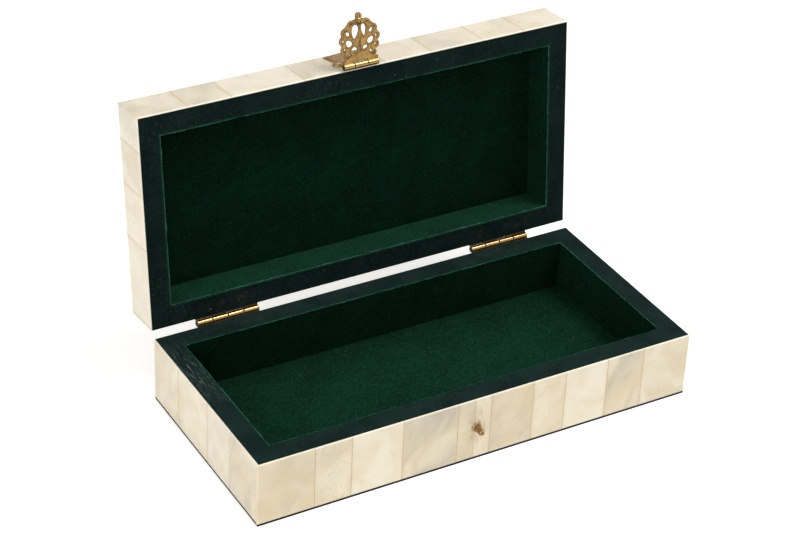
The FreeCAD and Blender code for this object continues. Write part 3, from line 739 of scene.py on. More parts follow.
def boneFace(body, side):
    node = f"{body}_{side}_tiles"
    face = "up" if side == "top" else side
    axis = tileFaces[side]
    boxes = separateTiles(node)
    dice = random.Random(f"{node}{tileLook['seed']}")
    corners = [shutBox(f"{body}_{wall}_tiles") for wall in ("front", "back", "left", "right")]
    outer = span([corner for pair in corners for corner in pair])
    tones, wildTones = tileLook["tones"].get(node), tileLook["wildTones"]
    rows = {}
    for box in boxes:
        rows.setdefault(round(box[0].y / mm, 1) if side == "top" else 0, []).append(box)
    parts = []
    for key in sorted(rows):
        row = sorted(rows[key], key=lambda box: box[0][axis])
        for number, (low, high) in enumerate(row):
            warm, grey, stain = [dice.uniform(*wildTones[kind]) for kind in ("warm", "grey", "stain")]
            look = tones[number] if tones else (warm, grey ** 2, stain)
            parts.append(tilePart(low, high, face, outer, look, dice))
        parts += glueParts(row, face, axis, outer)
    if side == "top":  # and the long joints between the rows
        bands = [span([corner for box in rows[key] for corner in box]) for key in rows]
        parts += glueParts(bands, face, 1, outer)
    piece = makePiece(f"bone_{body}_{side}", parts, stands[body], ("bone", "glue"))
    settle(piece, body, "bone", node)
    return len(boxes)


tileCount = 0
for body in ("base", "lid"):
    for side in ("front", "back", "left", "right"):
        tileCount += boneFace(body, side)
tileCount += boneFace("lid", "top")
print(f"bone: {tileCount} tiles")


# rim coverings: a thin glued skin, raised a little over the hinge leaves

rimLook = {
    "edge": 0.22 * mm,
    "steps": 4,
    "cell": 2.2 * mm,
    "sunk": 0.02 * mm,
    "ripple": 0.035 * mm,
    "rippleScale": 260.0,
    "leafRaise": 0.07 * mm,
    "leafReach": 8.0 * mm,
    "leafBlur": 0.8 * mm,
    "wearReach": 7.0 * mm,
    "wearBlur": 6.0 * mm,
    "rubScale": 30.0,
    "rubShift": (3, 8, 1),
    "rubFrom": 0.35,
    "rubForce": 0.25,
    "leftForce": 0.85,  # the left rim of the base is rubbed most
    "leftRubbedAt": 22.0 * mm,
    "leftRubbedReach": 60.0 * mm,
    # painted light and shade: the base's rim is lit, the lid's rim mostly shaded
    "paintedLight": {"base": 1.0, "lid": 0.3},
}
hingeSpans = [shutBox(f"{side}_hinge_pin") for side in ("left", "right")]
boxBack = shutBox("base_back_tiles")[1].y


def besideHinge(point, reach, blur):
    share = 0.0
    for low, high in hingeSpans:
        offX = max(low.x - point.x, point.x - high.x, 0.0)
        offY = max(boxBack - reach - point.y, 0.0)
        share = max(share, 1 - min(1.0, math.hypot(offX, offY) / blur))
    return share


def rimSection(band, thick):
    edge, steps = rimLook["edge"], rimLook["steps"]
    angles = [math.pi / 2 * k / steps for k in range(steps + 1)]
    rounded = [(edge * (1 - math.cos(angle)), edge * (1 - math.sin(angle))) for angle in angles]
    count = max(2, round(band / rimLook["cell"]))
    flat = [(edge + (band - 2 * edge) * k / count, 0.0) for k in range(1, count)]
    back = [(band - inset, drop) for inset, drop in reversed(rounded)]
    return [(0.0, thick)] + rounded + flat + back + [(band, thick)]


def rimCovering(body):
    node = f"{body}_rim_covering"
    low, high = shutBox(node)
    upward = 1 if body == "base" else -1
    topZ = high.z if upward > 0 else low.z
    innerLowX, innerHighX = shutBox(f"{body}_lining_left")[0].x, shutBox(f"{body}_lining_right")[1].x
    innerLowY, innerHighY = shutBox(f"{body}_lining_front")[0].y, shutBox(f"{body}_lining_back")[1].y
    band = innerLowX - low.x
    section = rimSection(band, high.z - low.z)
    backY = boxBack - rimLook["edge"]  # the skin is folded out to the edge along the hinges
    outerRing = [(low.x, low.y), (high.x, low.y), (high.x, backY), (low.x, backY)]
    innerRing = [(innerLowX, innerLowY), (innerHighX, innerLowY),
                 (innerHighX, innerHighY), (innerLowX, innerHighY)]
    around = []
    for first in range(4):
        second = (first + 1) % 4
        count = round(math.dist(outerRing[first], outerRing[second]) / rimLook["cell"])
        around += [(first, second, k / count) for k in range(count)]
    points, scuff, wear = [], [], []
    for first, second, share in around:
        outside = Vector(outerRing[first]).lerp(Vector(outerRing[second]), share)
        inside = Vector(innerRing[first]).lerp(Vector(innerRing[second]), share)
        for inset, drop in section:
            flat = outside.lerp(inside, inset / band)
            spot = Vector((flat.x, flat.y, topZ))
            lift = rimLook["leafRaise"] * besideHinge(spot, rimLook["leafReach"], rimLook["leafBlur"])
            lift += rimLook["ripple"] * (noise.noise(spot * rimLook["rippleScale"]) - 0.5)
            raised = lift - rimLook["sunk"] if drop == 0.0 else 0.0
            points.append(Vector((flat.x, flat.y, topZ - upward * (drop - raised))))
            if flat.x < innerLowX and body == "base":
                rub = 1 - abs(flat.y - rimLook["leftRubbedAt"]) / rimLook["leftRubbedReach"]
                force = rimLook["leftForce"]
            else:
                rub = noise.noise(spot * rimLook["rubScale"] + Vector(rimLook["rubShift"])) * 0.5 + 0.5
                force = rimLook["rubForce"]
            scuff.append(max(0.0, rub - rimLook["rubFrom"]) * force)
            wear.append(besideHinge(spot, rimLook["wearReach"], rimLook["wearBlur"]) ** 2)
    deep, long = len(section), len(around)
    rows = [(i * deep, (i + 1) % long * deep) for i in range(long)]
    faces = [(here + j, there + j, there + j + 1, here + j + 1)
             for here, there in rows for j in range(deep - 1)]
    smooth = len(faces)
    faces += [(here + deep - 1, there + deep - 1, there, here) for here, there in rows]
    if upward < 0:
        faces = [face[::-1] for face in faces]
    marks = {"scuff": scuff, "wear": wear, "paintedLight": [rimLook["paintedLight"][body]] * len(points)}
    part = {"points": points, "faces": faces, "smooth": smooth, "marks": marks}
    piece = makePiece(f"rim_{body}", [part], stands[body], ("rim_covering",))
    settle(piece, body, "rim_covering", node)


for body in ("base", "lid"):
    rimCovering(body)
print("rims: covered")


# velvet linings and the felt underneath

liningLook = {
    "edge": 0.3 * mm,
    "cell": 4.0 * mm,
    "wave": 0.05 * mm,
    "waveScale": 90.0,
    "crown": 0.4,  # painted shade: the floor and the lid's panel darken towards their edges
    "crownHeight": 1.5,
    "lip": 0.5 * mm,
    "feltGrow": 0.5 * mm,  # the felt spreads almost to the bone
    "paintedLight": {  # painted light and shade: how light each board is made, lightest for the boards that face up at rest
        "base_floor": 0.72, "base_front": 0.4, "base_back": 0.12, "base_left": 0.4, "base_right": 0.3,
        "lid_top": 0.15, "lid_back": 0.92, "lid_front": 0.2, "lid_left": 0.35, "lid_right": 0.42,
    },
}
towards = {"floor": "up", "top": "down", "front": "back", "back": "front", "left": "right", "right": "left"}


def softBoard(name, node, body, face, slot, paintedLight, lip=None, grow=0.0):
    low, high = shutBox(node)
    low, high = low - Vector((grow, grow, 0)), high + Vector((grow, grow, 0))
    edge = liningLook["edge"]

    def wave(u, v):
        place = Vector((u, v, low.x + low.z)) * liningLook["waveScale"]
        return -liningLook["wave"] * (noise.noise(place) * 0.5 + 0.5)

    part = roundedBoard(low, high, face, [[edge, edge], [edge, edge]], liningLook["cell"], wave)
    # painted shade: darker towards the edges of the floor and the lid's panel
    crown = liningLook["crown"] if face in ("up", "down") else 0.0
    shares = [v / part["sizes"][1] for u, v in part["flats"]]
    swells = [crown * math.sin(math.pi * share) * liningLook["crownHeight"] for share in shares]
    paintedLights = [paintedLight * (1 - crown + swell) for swell in swells]
    if lip:  # painted highlight: the cut edge beside the rim is made lighter
        reach = liningLook["lip"] / part["sizes"][1]
        near = [1 - share if lip == "high" else share for share in shares]
        paintedLights = [1.0 if share < reach else value for share, value in zip(near, paintedLights)]
    part["marks"] = {"paintedLight": paintedLights}
    settle(makePiece(name, [part], stands[body], (slot,)), body, slot, node)


for body, flat in (("base", "floor"), ("lid", "top")):
    for side in (flat, "front", "back", "left", "right"):
        board = f"{body}_{side}"
        lip = None if side == flat else "high" if body == "base" else "low"
        paintedLight = liningLook["paintedLight"][board]
        softBoard(f"velvet_{board}", f"{body}_lining_{side}", body, towards[side], "velvet", paintedLight, lip)
softBoard("felt_underside", "base_felt", "base", "down", "felt", 0.0, grow=liningLook["feltGrow"])
print("soft pieces: lining boards and felt")


# Geometry Nodes: knuckles, rivets and velvet fringe

class Grower(Nodes):
    def __init__(self, name, inputs):
        super().__init__(bpy.data.node_groups.new(name, "GeometryNodeTree"))
        sockets = self.tree.interface
        sockets.new_socket("Geometry", in_out="INPUT", socket_type="NodeSocketGeometry")
        for label, kind in inputs.items():
            sockets.new_socket(label, in_out="INPUT", socket_type=f"NodeSocket{kind}")
        sockets.new_socket("Geometry", in_out="OUTPUT", socket_type="NodeSocketGeometry")
        self.given = self.tree.nodes.new("NodeGroupInput").outputs
        self.result = self.tree.nodes.new("NodeGroupOutput")

    def end(self, placed):
        instances = self.add("GeometryNodeInstanceOnPoints", placed)[0]
        solid = self.add("GeometryNodeRealizeInstances", {"Geometry": instances})[0]
        coat = {"Geometry": solid, "Material": self.given["Material"]}
        self.tree.links.new(self.add("GeometryNodeSetMaterial", coat)[0], self.result.inputs[0])
        return self.tree


def growPart(tree, values, points=((0, 0, 0),), edges=()):
    mesh = bpy.data.meshes.new("seed")
    mesh.from_pydata(points, edges, [])
    seed = addObject("seed", mesh)
    modifier = seed.modifiers.new("grow", "NODES")
    modifier.node_group = tree
    for item in tree.interface.items_tree:
        if item.in_out == "INPUT" and item.name in values:
            modifier[item.identifier] = values[item.name]
    grown = bpy.data.meshes.new_from_object(seed.evaluated_get(bpy.context.evaluated_depsgraph_get()))
    part = {
        "points": [vertex.co.copy() for vertex in grown.vertices],
        "faces": [list(polygon.vertices) for polygon in grown.polygons],
        "smooth": len(grown.polygons),
    }
    bpy.data.objects.remove(seed)
    bpy.data.meshes.remove(mesh)
    bpy.data.meshes.remove(grown)
    return part


def moved(part, matrix):
    part["points"] = [matrix @ point for point in part["points"]]
    return part


knuckleLook = {"around": 40, "roundSteps": 3, "brightShare": 0.9}


def knuckleTree():
    inputs = {"Radius": "Float", "Bore": "Float", "Length": "Float", "Pitch": "Float", "Count": "Int",
              "Chamfer": "Float", "Material": "Material"}
    grow = Grower("knuckles", inputs)
    given = grow.given
    wall = grow.combine(given["Radius"], given["Bore"], "SUBTRACT")
    middle = grow.combine(grow.combine(given["Radius"], given["Bore"], "ADD"), 0.5, "MULTIPLY")
    circle = {"Resolution": knuckleLook["around"], "Radius": middle}
    ring = grow.add("GeometryNodeCurvePrimitiveCircle", circle)[0]
    oblong = {"Width": wall, "Height": given["Length"]}
    section = grow.add("GeometryNodeCurvePrimitiveQuadrilateral", oblong)[0]
    fillet = {"Curve": section, "Count": knuckleLook["roundSteps"], "Radius": given["Chamfer"]}
    section = grow.add("GeometryNodeFilletCurve", fillet, mode="POLY")[0]
    tube = grow.add("GeometryNodeCurveToMesh", {"Curve": ring, "Profile Curve": section})[0]
    step = grow.add("ShaderNodeCombineXYZ", {"X": given["Pitch"]})[0]
    row = grow.add("GeometryNodeMeshLine", {"Count": given["Count"], "Offset": step})[0]
    return grow.end({"Points": row, "Instance": tube, "Rotation": (0.0, math.pi / 2, 0.0)})


rivetLook = {"segments": 24, "rings": 12, "shankSides": 20}


def rivetTree():
    inputs = {"Head": "Float", "Dome": "Float", "Shank": "Float", "Depth": "Float", "Material": "Material"}
    grow = Grower("rivets", inputs)
    given = grow.given
    sphere = {"Segments": rivetLook["segments"], "Rings": rivetLook["rings"], "Radius": 1.0}
    ball = grow.add("GeometryNodeMeshUVSphere", sphere)[0]
    size = grow.add("ShaderNodeCombineXYZ", {"X": given["Head"], "Y": given["Head"], "Z": given["Dome"]})[0]
    head = grow.add("GeometryNodeTransform", {"Geometry": ball, "Scale": size})[0]
    rod = {"Vertices": rivetLook["shankSides"], "Radius": given["Shank"], "Depth": given["Depth"]}
    shank = grow.add("GeometryNodeMeshCylinder", rod)[0]
    down = grow.add("ShaderNodeCombineXYZ", {"Z": grow.combine(given["Depth"], -0.5, "MULTIPLY")})[0]
    shank = grow.add("GeometryNodeTransform", {"Geometry": shank, "Translation": down})[0]
    join = grow.tree.nodes.new("GeometryNodeJoinGeometry")
    for piece in (head, shank):
        grow.tree.links.new(piece, join.inputs[0])
    return grow.end({"Points": given["Geometry"], "Instance": join.outputs[0]})


fringeLook = {
    "spacing": 0.14 * mm,
    "length": 0.58 * mm,
    "width": 0.12 * mm,
    "sink": 0.32 * mm,
    "seed": 5,
    "lift": {"base": 0.1, "lid": -0.1},
    "loose": 0.45,
    "sizes": (0.35, 1.25),
    "patchScale": 110.0,
    "patch": (0.3, 0.7),
    "patchLeast": 0.35,
}


def fringeTree():
    inputs = {"Spacing": "Float", "Length": "Float", "Width": "Float", "Lift": "Float", "Seed": "Int",
              "Material": "Material"}
    grow = Grower("fringe", inputs)
    given, look = grow.given, fringeLook
    path = grow.add("GeometryNodeMeshToCurve", {"Mesh": given["Geometry"]})[0]
    spaced = {"Curve": path, "Length": given["Spacing"]}
    path = grow.add("GeometryNodeResampleCurve", spaced, mode="LENGTH")[0]
    blade = {"Vertices": 3, "Radius Top": 0.0, "Radius Bottom": given["Width"], "Depth": given["Length"]}
    strand = grow.add("GeometryNodeMeshCone", blade)[0]
    back = {0: grow.add("GeometryNodeInputNormal")[0], "Scale": -1.0}
    inward = grow.add("ShaderNodeVectorMath", back, operation="SCALE")[0]
    rise = grow.add("ShaderNodeCombineXYZ", {"Z": given["Lift"]})[0]
    way = grow.vector("ADD", inward, rise)[0]
    aim = grow.add("FunctionNodeAlignRotationToVector", {"Vector": way}, axis="Z")[0]
    limits = {"Min": [-look["loose"]] * 3, "Max": [look["loose"]] * 3, "Seed": given["Seed"]}
    loose = grow.add("FunctionNodeRandomValue", limits, data_type="FLOAT_VECTOR")[0]
    bent = {"Rotation": aim, "Rotate By": loose}
    turn = grow.add("FunctionNodeRotateRotation", bent, rotation_space="LOCAL")[0]
    limits = {2: look["sizes"][0], 3: look["sizes"][1], "Seed": given["Seed"]}
    size = grow.add("FunctionNodeRandomValue", limits, data_type="FLOAT")[1]
    patch = grow.add("ShaderNodeTexNoise", {"Scale": look["patchScale"], "Detail": 3.0})[0]
    levels = {"Value": patch, "From Min": look["patch"][0], "From Max": look["patch"][1],
              "To Min": look["patchLeast"]}
    size = grow.combine(size, grow.add("ShaderNodeMapRange", levels)[0], "MULTIPLY")
    return grow.end({"Points": path, "Instance": strand, "Rotation": turn, "Scale": size})


def velvetFringe(body):
    left, right = shutBox(f"{body}_lining_left"), shutBox(f"{body}_lining_right")
    front, back = shutBox(f"{body}_lining_front"), shutBox(f"{body}_lining_back")
    level = left[1].z - fringeLook["sink"] if body == "base" else left[0].z + fringeLook["sink"]
    lowX, highX, lowY, highY = left[1].x, right[0].x, front[1].y, back[0].y
    corners = [(lowX, lowY, level), (highX, lowY, level), (highX, highY, level), (lowX, highY, level)]
    values = {"Spacing": fringeLook["spacing"], "Length": fringeLook["length"], "Width": fringeLook["width"],
              "Lift": fringeLook["lift"][body], "Seed": fringeLook["seed"], "Material": materials["fringe"]}
    part = growPart(fringe, values, corners, [(0, 1), (1, 2), (2, 3), (3, 0)])
    piece = makePiece(f"fringe_{body}", [part], stands[body], ("fringe",))
    settle(piece, body, "velvet")
    return len(part["faces"])


knuckles, rivets, fringe = knuckleTree(), rivetTree(), fringeTree()
print("fringe:", [velvetFringe(body) for body in ("base", "lid")], "faces")


# hinges: rolled knuckles on bevelled leaves, in turn along each pin

hingeLook = {
    "knuckles": 4,
    "gap": 0.16 * mm,
    "barrel": 1.8 * mm,
    "bore": 0.95 * mm,
    "chamfer": 0.41 * mm,
    "bevel": 0.08 * mm,
    "bevelSteps": 2,
    "thick": 0.9 * mm,
    "fromAxis": 1.7 * mm,
    "lip": 0.35 * mm,
    "lipFromAxis": 1.38 * mm,
    "overlap": 0.4 * mm,
    # the leaves are made near-black: tarnish and painted shade
    "tarnishAndShade": 0.93,
    "crease": 12,
}


def hingeBlock(low, high):
    block = bmesh.new()
    bmesh.ops.create_cube(block, size=1.0)
    for vertex in block.verts:
        vertex.co = [near + (place + 0.5) * (far - near) for near, far, place in zip(low, high, vertex.co)]
    bmesh.ops.bevel(block, geom=block.edges[:], offset=hingeLook["bevel"], segments=hingeLook["bevelSteps"],
                    profile=0.5, affect="EDGES")
    block.verts.index_update()
    # painted shade on the leaves and the lip, with tarnish
    part = {
        "points": [vertex.co.copy() for vertex in block.verts],
        "faces": [[vertex.index for vertex in face.verts] for face in block.faces],
        "smooth": len(block.faces),
        "marks": {"patinaAndShade": [hingeLook["tarnishAndShade"]] * len(block.verts)},
    }
    block.free()
    return part


def rolledKnuckles(sizes, count):
    radius, bore, length, pitch, chamfer = sizes
    values = {"Radius": radius, "Bore": bore, "Length": length, "Pitch": pitch, "Chamfer": chamfer,
              "Count": count, "Material": materials["polished_brass"]}
    part = growPart(knuckles, values)
    share = knuckleLook["brightShare"]
    # the knuckle ends and the bore are made dark: painted shade between the knuckles, with dirt
    grimeAndShade = []
    for point in part["points"]:
        fromMiddle = min(abs(point.x - k * pitch) for k in range(count))
        bright = fromMiddle < length / 2 - chamfer * share and math.hypot(point.y, point.z) > radius * share
        grimeAndShade.append(0.0 if bright else 1.0)
    part["marks"] = {"patinaAndShade": grimeAndShade}
    return part


def hingeLeaf(side, body):
    node = f"{side}_hinge_{body}_leaf"
    look = hingeLook
    low, high = shutBox(node)
    count = look["knuckles"]
    pitch = (high.x - low.x + look["gap"]) / count
    length = pitch - look["gap"]
    first = 0 if body == "base" else 1
    rimLow, rimHigh = shutBox(f"{body}_rim_covering")
    bottom = rimLow.z - look["thick"] if body == "base" else rimHigh.z
    top = bottom + look["thick"]
    edge = hingePoint.y - look["fromAxis"]
    parts = [hingeBlock((low.x, low.y, bottom), (high.x, edge, top))]
    for k in range(first, count, 2):
        start = low.x + k * pitch
        tabLow, tabHigh = (start, edge - look["overlap"], bottom), (start + length, hingePoint.y, top)
        parts.append(hingeBlock(tabLow, tabHigh))
    lipLow = bottom if body == "base" else top - look["lip"]  # a near-black strip closes the slit beside the barrel: painted shade
    lipEdge = hingePoint.y - look["lipFromAxis"]
    parts.append(hingeBlock((low.x, edge - look["overlap"], lipLow), (high.x, lipEdge, lipLow + look["lip"])))
    seat = Matrix.Translation((low.x + first * pitch + length / 2, hingePoint.y, hingePoint.z))
    sizes = (look["barrel"], look["bore"], length, 2 * pitch, look["chamfer"])
    parts.append(moved(rolledKnuckles(sizes, count // 2), seat))
    piece = makePiece(f"{side}_hinge_{body}", parts, stands[body], ("polished_brass",), look["crease"])
    settle(piece, body, "polished_brass", node)


for side in ("left", "right"):
    for body in ("base", "lid"):
        hingeLeaf(side, body)
print("hinges: two pairs of leaves")


# cast plates: an outline given as distances, cut from a fine grid, with engraved marks

castLook = {
    "snap": 0.06,  # share of a cell within which the outline is moved off a grid point
    # painted shade on the back face
    "backShade": 0.3,
    "cutShade": 0.85,  # painted shade: the cut sides darken towards the back
    "crease": 38,
}


def roundGap(x, y, spot, radius):
    return math.hypot(x - spot[0], y - spot[1]) - radius


def slabGap(x, y, lowX, highX, lowY, highY):
    overX, overY = max(lowX - x, x - highX), max(lowY - y, y - highY)
    if overX < 0 and overY < 0:
        return max(overX, overY)
    return math.hypot(max(overX, 0), max(overY, 0))


def ovalGap(x, y, spot, halves, lean=0.0, taper=0.0):
    turn = math.radians(lean)
    offX, offY = x - spot[0], y - spot[1]
    p = offX * math.cos(turn) + offY * math.sin(turn)
    q = offY * math.cos(turn) - offX * math.sin(turn)
    wide = halves[0] * (1 - taper * max(-1, min(1, q / halves[1])))
    near = math.hypot(p / wide, q / halves[1])
    steep = math.hypot(p / wide ** 2, q / halves[1] ** 2)
    return near * (near - 1) / steep if steep > 1e-9 else -min(wide, halves[1])


def groove(gap, width, depth):
    share = abs(gap) / width
    return depth * (1 + math.cos(math.pi * share)) / 2 if share < 1 else 0.0


def castPlate(box, cell, gap, top, bottom):
    lowX, highX, lowY, highY = box
    wide, tall = math.ceil((highX - lowX) / cell), math.ceil((highY - lowY) / cell)
    spots = [[(lowX + i * cell, lowY + j * cell) for j in range(tall + 1)] for i in range(wide + 1)]
    gaps = [[gap(*spot) for spot in row] for row in spots]
    least = castLook["snap"] * cell
    gaps = [[-least if abs(value) < least else value for value in row] for row in gaps]
    points, index, patinaAndShade = [], {}, []

    def point(first, second):
        key = (min(first, second), max(first, second))
        if key not in index:
            (i, j), (k, m) = key
            a, b = gaps[i][j], gaps[k][m]
            onCut = key[0] != key[1]
            share = a / (a - b) if onCut else 0.0
            x = spots[i][j][0] + (spots[k][m][0] - spots[i][j][0]) * share
            y = spots[i][j][1] + (spots[k][m][1] - spots[i][j][1]) * share
            index[key] = len(points)
            inside = 0.0 if onCut else -a
            height, mark = top(x, y, inside)
            points.extend([Vector((x, y, height)) * mm, Vector((x, y, bottom(x, y, inside))) * mm])
            # the back and the cut sides take painted shade
            patinaAndShade.extend([mark, castLook["cutShade"] if onCut else castLook["backShade"]])
        return index[key]

    faces, walls = [], []
    for i in range(wide):
        for j in range(tall):
            corners = [(i, j), (i + 1, j), (i + 1, j + 1), (i, j + 1)]
            ring, cuts = [], []
            for here, there in zip(corners, corners[1:] + corners[:1]):
                hereIn, thereIn = gaps[here[0]][here[1]] < 0, gaps[there[0]][there[1]] < 0
                if hereIn:
                    ring.append(point(here, here))
                if hereIn != thereIn:
                    ring.append(point(here, there))
                    cuts.append((len(ring) - 1, hereIn))
            if len(ring) < 3:
                continue
            faces.append(ring)
            for place, leaving in cuts:
                if leaving:
                    walls.append((ring[place], ring[(place + 1) % len(ring)]))
    allFaces = faces + [[corner + 1 for corner in reversed(ring)] for ring in faces]
    allFaces += [[a, a + 1, b + 1, b] for a, b in walls]
    return {"points": points, "faces": allFaces, "smooth": len(allFaces), "marks": {"patinaAndShade": patinaAndShade}}


def haspKnuckles(look, count, shift):
    sizes = [look[key] * mm for key in ("radius", "bore", "length", "pitch", "chamfer")]
    return moved(rolledKnuckles(sizes, count), Matrix.Translation(shift))


# hasp leaf: a scalloped palmette, its marks cut into the face

leafLook = {  # millimetres, across and away from the barrel
    "box": (-13, 13, 0.8, 28.6),
    "cell": 0.16,
    "thick": 1.0,
    "edge": 0.3,
    "backEdge": 0.14,
    "discs": [((0, 13.9), 10.9), ((0, 21.4), 3.9)],
    "lobes": [((7.4, 5.4), 2.1), ((8.9, 9.5), 2.4), ((9.5, 14.0), 2.5), ((7.9, 18.2), 2.75),
              ((4.2, 21.6), 2.75)],
    "root": (8.8, 2.3, 7.0),
    "tabs": (4.0, 10.2, 1.1, 3.3),
    "neck": (1.5, 13.9, 26.2),
    "finial": ((0, 26.2), 1.9),
    "dome": 0.55,
    "ring": (24.6, 0.6, 0.5),
    "eyes": [((9.6, 14.1), 0.5), ((8.9, 9.6), 0.5)],
    "gusset": {"spot": (6.2, 6.4), "reach": 0.68, "turn": 2.6},
    "drops": [((6.3, 12.3), (1.5, 2.0), 45, 0.2), ((6.75, 17.5), (0.8, 1.25), 35, 0.25)],
    "catch": ((-2.5, 18.0), (1.8, 3.6), -8, -0.3),
    "comma": ((2.55, 18.4), (1.2, 3.2), 6, -0.4),
    "rounds": [((-3.3, 8.1), (1.65, 1.85), 10, 0.1), ((2.9, 8.9), (1.35, 1.0), 25, 0.2)],
    "knuckle": {"radius": 1.7, "bore": 0.75, "length": 6.2, "pitch": 14.2, "chamfer": 0.28},
    # engraved lines: each cut has a width and a depth
    "besideOpening": {"away": 0.6, "cut": (0.26, 0.11)},
    "scallop": {"share": 0.5, "cut": (0.32, 0.19)},
    "dots": {"spots": [((7.4, 5.0), 0.4), ((8.6, 19.2), 0.36), ((4.5, 22.4), 0.36), ((10.9, 12.2), 0.3),
                       ((10.6, 16.2), 0.3)], "share": 0.5, "depth": 0.2},
    "chain": {"from": 7.6, "step": 1.3, "count": 5, "halves": (0.5, 0.46), "cut": (0.28, 0.18)},
    "stem": {"halves": (0.375, 0.75), "from": 11.0, "to": 20.5, "cut": (0.2, 0.11)},
    "tulip": {"petals": [((0.75, 22.3), (0.26, 0.9), 28), ((0, 21.9), (0.2, 0.5), 0)], "cut": (0.2, 0.15)},
    "darkAt": 0.15,
    # painted shade along the rounded edges of the outline and the openings
    "edgeShade": 0.6,
    "edgeShadeReach": 0.32,
}


def leafOutline(x, y):
    side, look = abs(x), leafLook
    gaps = [roundGap(side, y, *form) for form in look["discs"] + look["lobes"] + [look["finial"]]]
    gaps.append(slabGap(side, y, *look["tabs"]))
    for half, start, end in (look["root"], look["neck"]):
        gaps.append(slabGap(x, y, -half, half, start, end))
    return min(gaps)


def gussetGap(x, y, spot, reach, turn):
    ways = [turn + 2 * math.pi * k / 3 for k in range(3)]
    return max((x - spot[0]) * math.cos(way) + (y - spot[1]) * math.sin(way) for way in ways) - reach


def leafOpenings(x, y):
    side, look = abs(x), leafLook
    gaps = [roundGap(side, y, *eye) for eye in look["eyes"]]
    gaps.append(gussetGap(side, y, **look["gusset"]))
    gaps += [ovalGap(side, y, spot, halves, -lean, taper) for spot, halves, lean, taper in look["drops"]]
    gaps += [ovalGap(x, y, *oval) for oval in [look["catch"], look["comma"]] + look["rounds"]]
    return min(gaps)


def leafGap(x, y):
    return max(leafOutline(x, y), -leafOpenings(x, y))


def leafMarks(x, y):
    side, look = abs(x), leafLook
    line, arc, dots = look["besideOpening"], look["scallop"], look["dots"]
    chain, stem, tulip = look["chain"], look["stem"], look["tulip"]
    depths = [groove(leafOpenings(x, y) - line["away"], *line["cut"])]
    middle = look["discs"][0][0]
    for spot, radius in look["lobes"]:  # a short arc in each scallop
        if (side - spot[0]) * spot[0] + (y - spot[1]) * (spot[1] - middle[1]) > 0:
            depths.append(groove(roundGap(side, y, spot, radius * arc["share"]), *arc["cut"]))
    for spot, radius in dots["spots"]:
        away = max(0.0, roundGap(side, y, spot, radius * dots["share"]))
        depths.append(groove(away, radius, dots["depth"]))
    number = min(chain["count"] - 1, max(0, round((y - chain["from"]) / chain["step"])))
    link = ovalGap(x, y, (0, chain["from"] + number * chain["step"]), chain["halves"])
    depths.append(groove(link, *chain["cut"]))
    if stem["from"] < y < stem["to"]:  # two lines that flare up the stem
        narrow, wide = stem["halves"]
        half = narrow + (wide - narrow) * (y - stem["from"]) / (stem["to"] - stem["from"])
        depths.append(groove(side - half, *stem["cut"]))
    for spot, halves, lean in tulip["petals"]:
        depths.append(groove(max(0.0, ovalGap(side, y, spot, halves, -lean)), *tulip["cut"]))
    return max(depths)


def leafTop(x, y, inside):
    look = leafLook
    depth = leafMarks(x, y)
    height = look["thick"] / 2 - roundDrop(inside, look["edge"]) - depth
    spot, radius = look["finial"]
    reach = math.hypot(x - spot[0], y - spot[1]) / radius
    if reach < 1:
        height += look["dome"] * math.sqrt(1 - reach ** 2)
    if abs(x) < radius:
        place, width, rise = look["ring"]
        height += groove(y - place, width, rise)
    # painted shade along the rounded edges
    paintedShade = look["edgeShade"] * max(0.0, 1 - inside / look["edgeShadeReach"])
    return height, min(1.0, max(depth / look["darkAt"], paintedShade))


def leafBottom(x, y, inside):
    return -leafLook["thick"] / 2 + roundDrop(inside, leafLook["backEdge"])


def haspLeaf():
    plate = castPlate(leafLook["box"], leafLook["cell"], leafGap, leafTop, leafBottom)
    look = leafLook["knuckle"]
    rolled = haspKnuckles(look, 2, (-look["pitch"] / 2 * mm, 0, 0))
    lift = math.radians(270) - haspLift - lidOpen
    stand = Matrix.Translation(haspPoint) @ Matrix.Rotation(lift, 4, "X")
    piece = makePiece("hasp_palmette", [plate], stand, ("engraved",), castLook["crease"])
    settle(piece, "hasp", "aged_brass", "hasp_leaf")
    ends = makePiece("hasp_palmette_knuckles", [rolled], stand, ("polished_brass",), hingeLook["crease"])
    settle(ends, "hasp", "polished_brass")
    return len(piece.data.polygons)


print("hasp leaf:", haspLeaf(), "faces")


# hasp plate: a winged plate on the lid, with domed pins

plateLook = {  # millimetres, across and away from the barrel
    "box": (-12.5, 12.5, 0, 23),
    "cell": 0.2,
    "thick": 0.8,
    "edge": 0.24,
    "offBone": 0.02,
    "fan": (2.3, 21.2, 6.0, 10.9),
    "crest": (21.2, 22.4, 10.9, 2.5),
    "lobe": ((8.2, 9.3), 3.2),
    "notch": ((10.8, 14.6), 1.7),
    "neck": (3.84, 0.2, 4.0),
    "border": {"in": 0.9, "cut": (0.22, 0.1)},
    "lobeRing": {"in": 1.25, "cut": (0.22, 0.12)},
    "feathers": {"from": 11.5, "beside": 3.2, "across": 1.1, "along": 2.6, "level": 0.45, "depth": 0.08},
    "darkAt": 0.12,
    "pins": [(-8.2, 9.3), (8.2, 9.3), (0, 17.5)],
    "pin": {"Head": 1.2, "Dome": 0.5, "Shank": 0.6, "Depth": 6.0},
    "pinCrease": 50,
    "axis": 2.0,
    "knuckle": {"radius": 1.7, "bore": 0.75, "length": 7.68, "pitch": 0.0, "chamfer": 0.28},
}


def taperGap(x, y, lowY, highY, lowHalf, highHalf):
    lean = math.atan2(highHalf - lowHalf, highY - lowY)
    beside = (abs(x) - lowHalf) * math.cos(lean) - (y - lowY) * math.sin(lean)
    return max(lowY - y, y - highY, beside)


def plateGap(x, y):
    side, look = abs(x), plateLook
    half, start, end = look["neck"]
    gaps = [taperGap(x, y, *look["fan"]), taperGap(x, y, *look["crest"]), roundGap(side, y, *look["lobe"]),
            slabGap(x, y, -half, half, start, end)]
    return max(min(gaps), -roundGap(side, y, *look["notch"]))


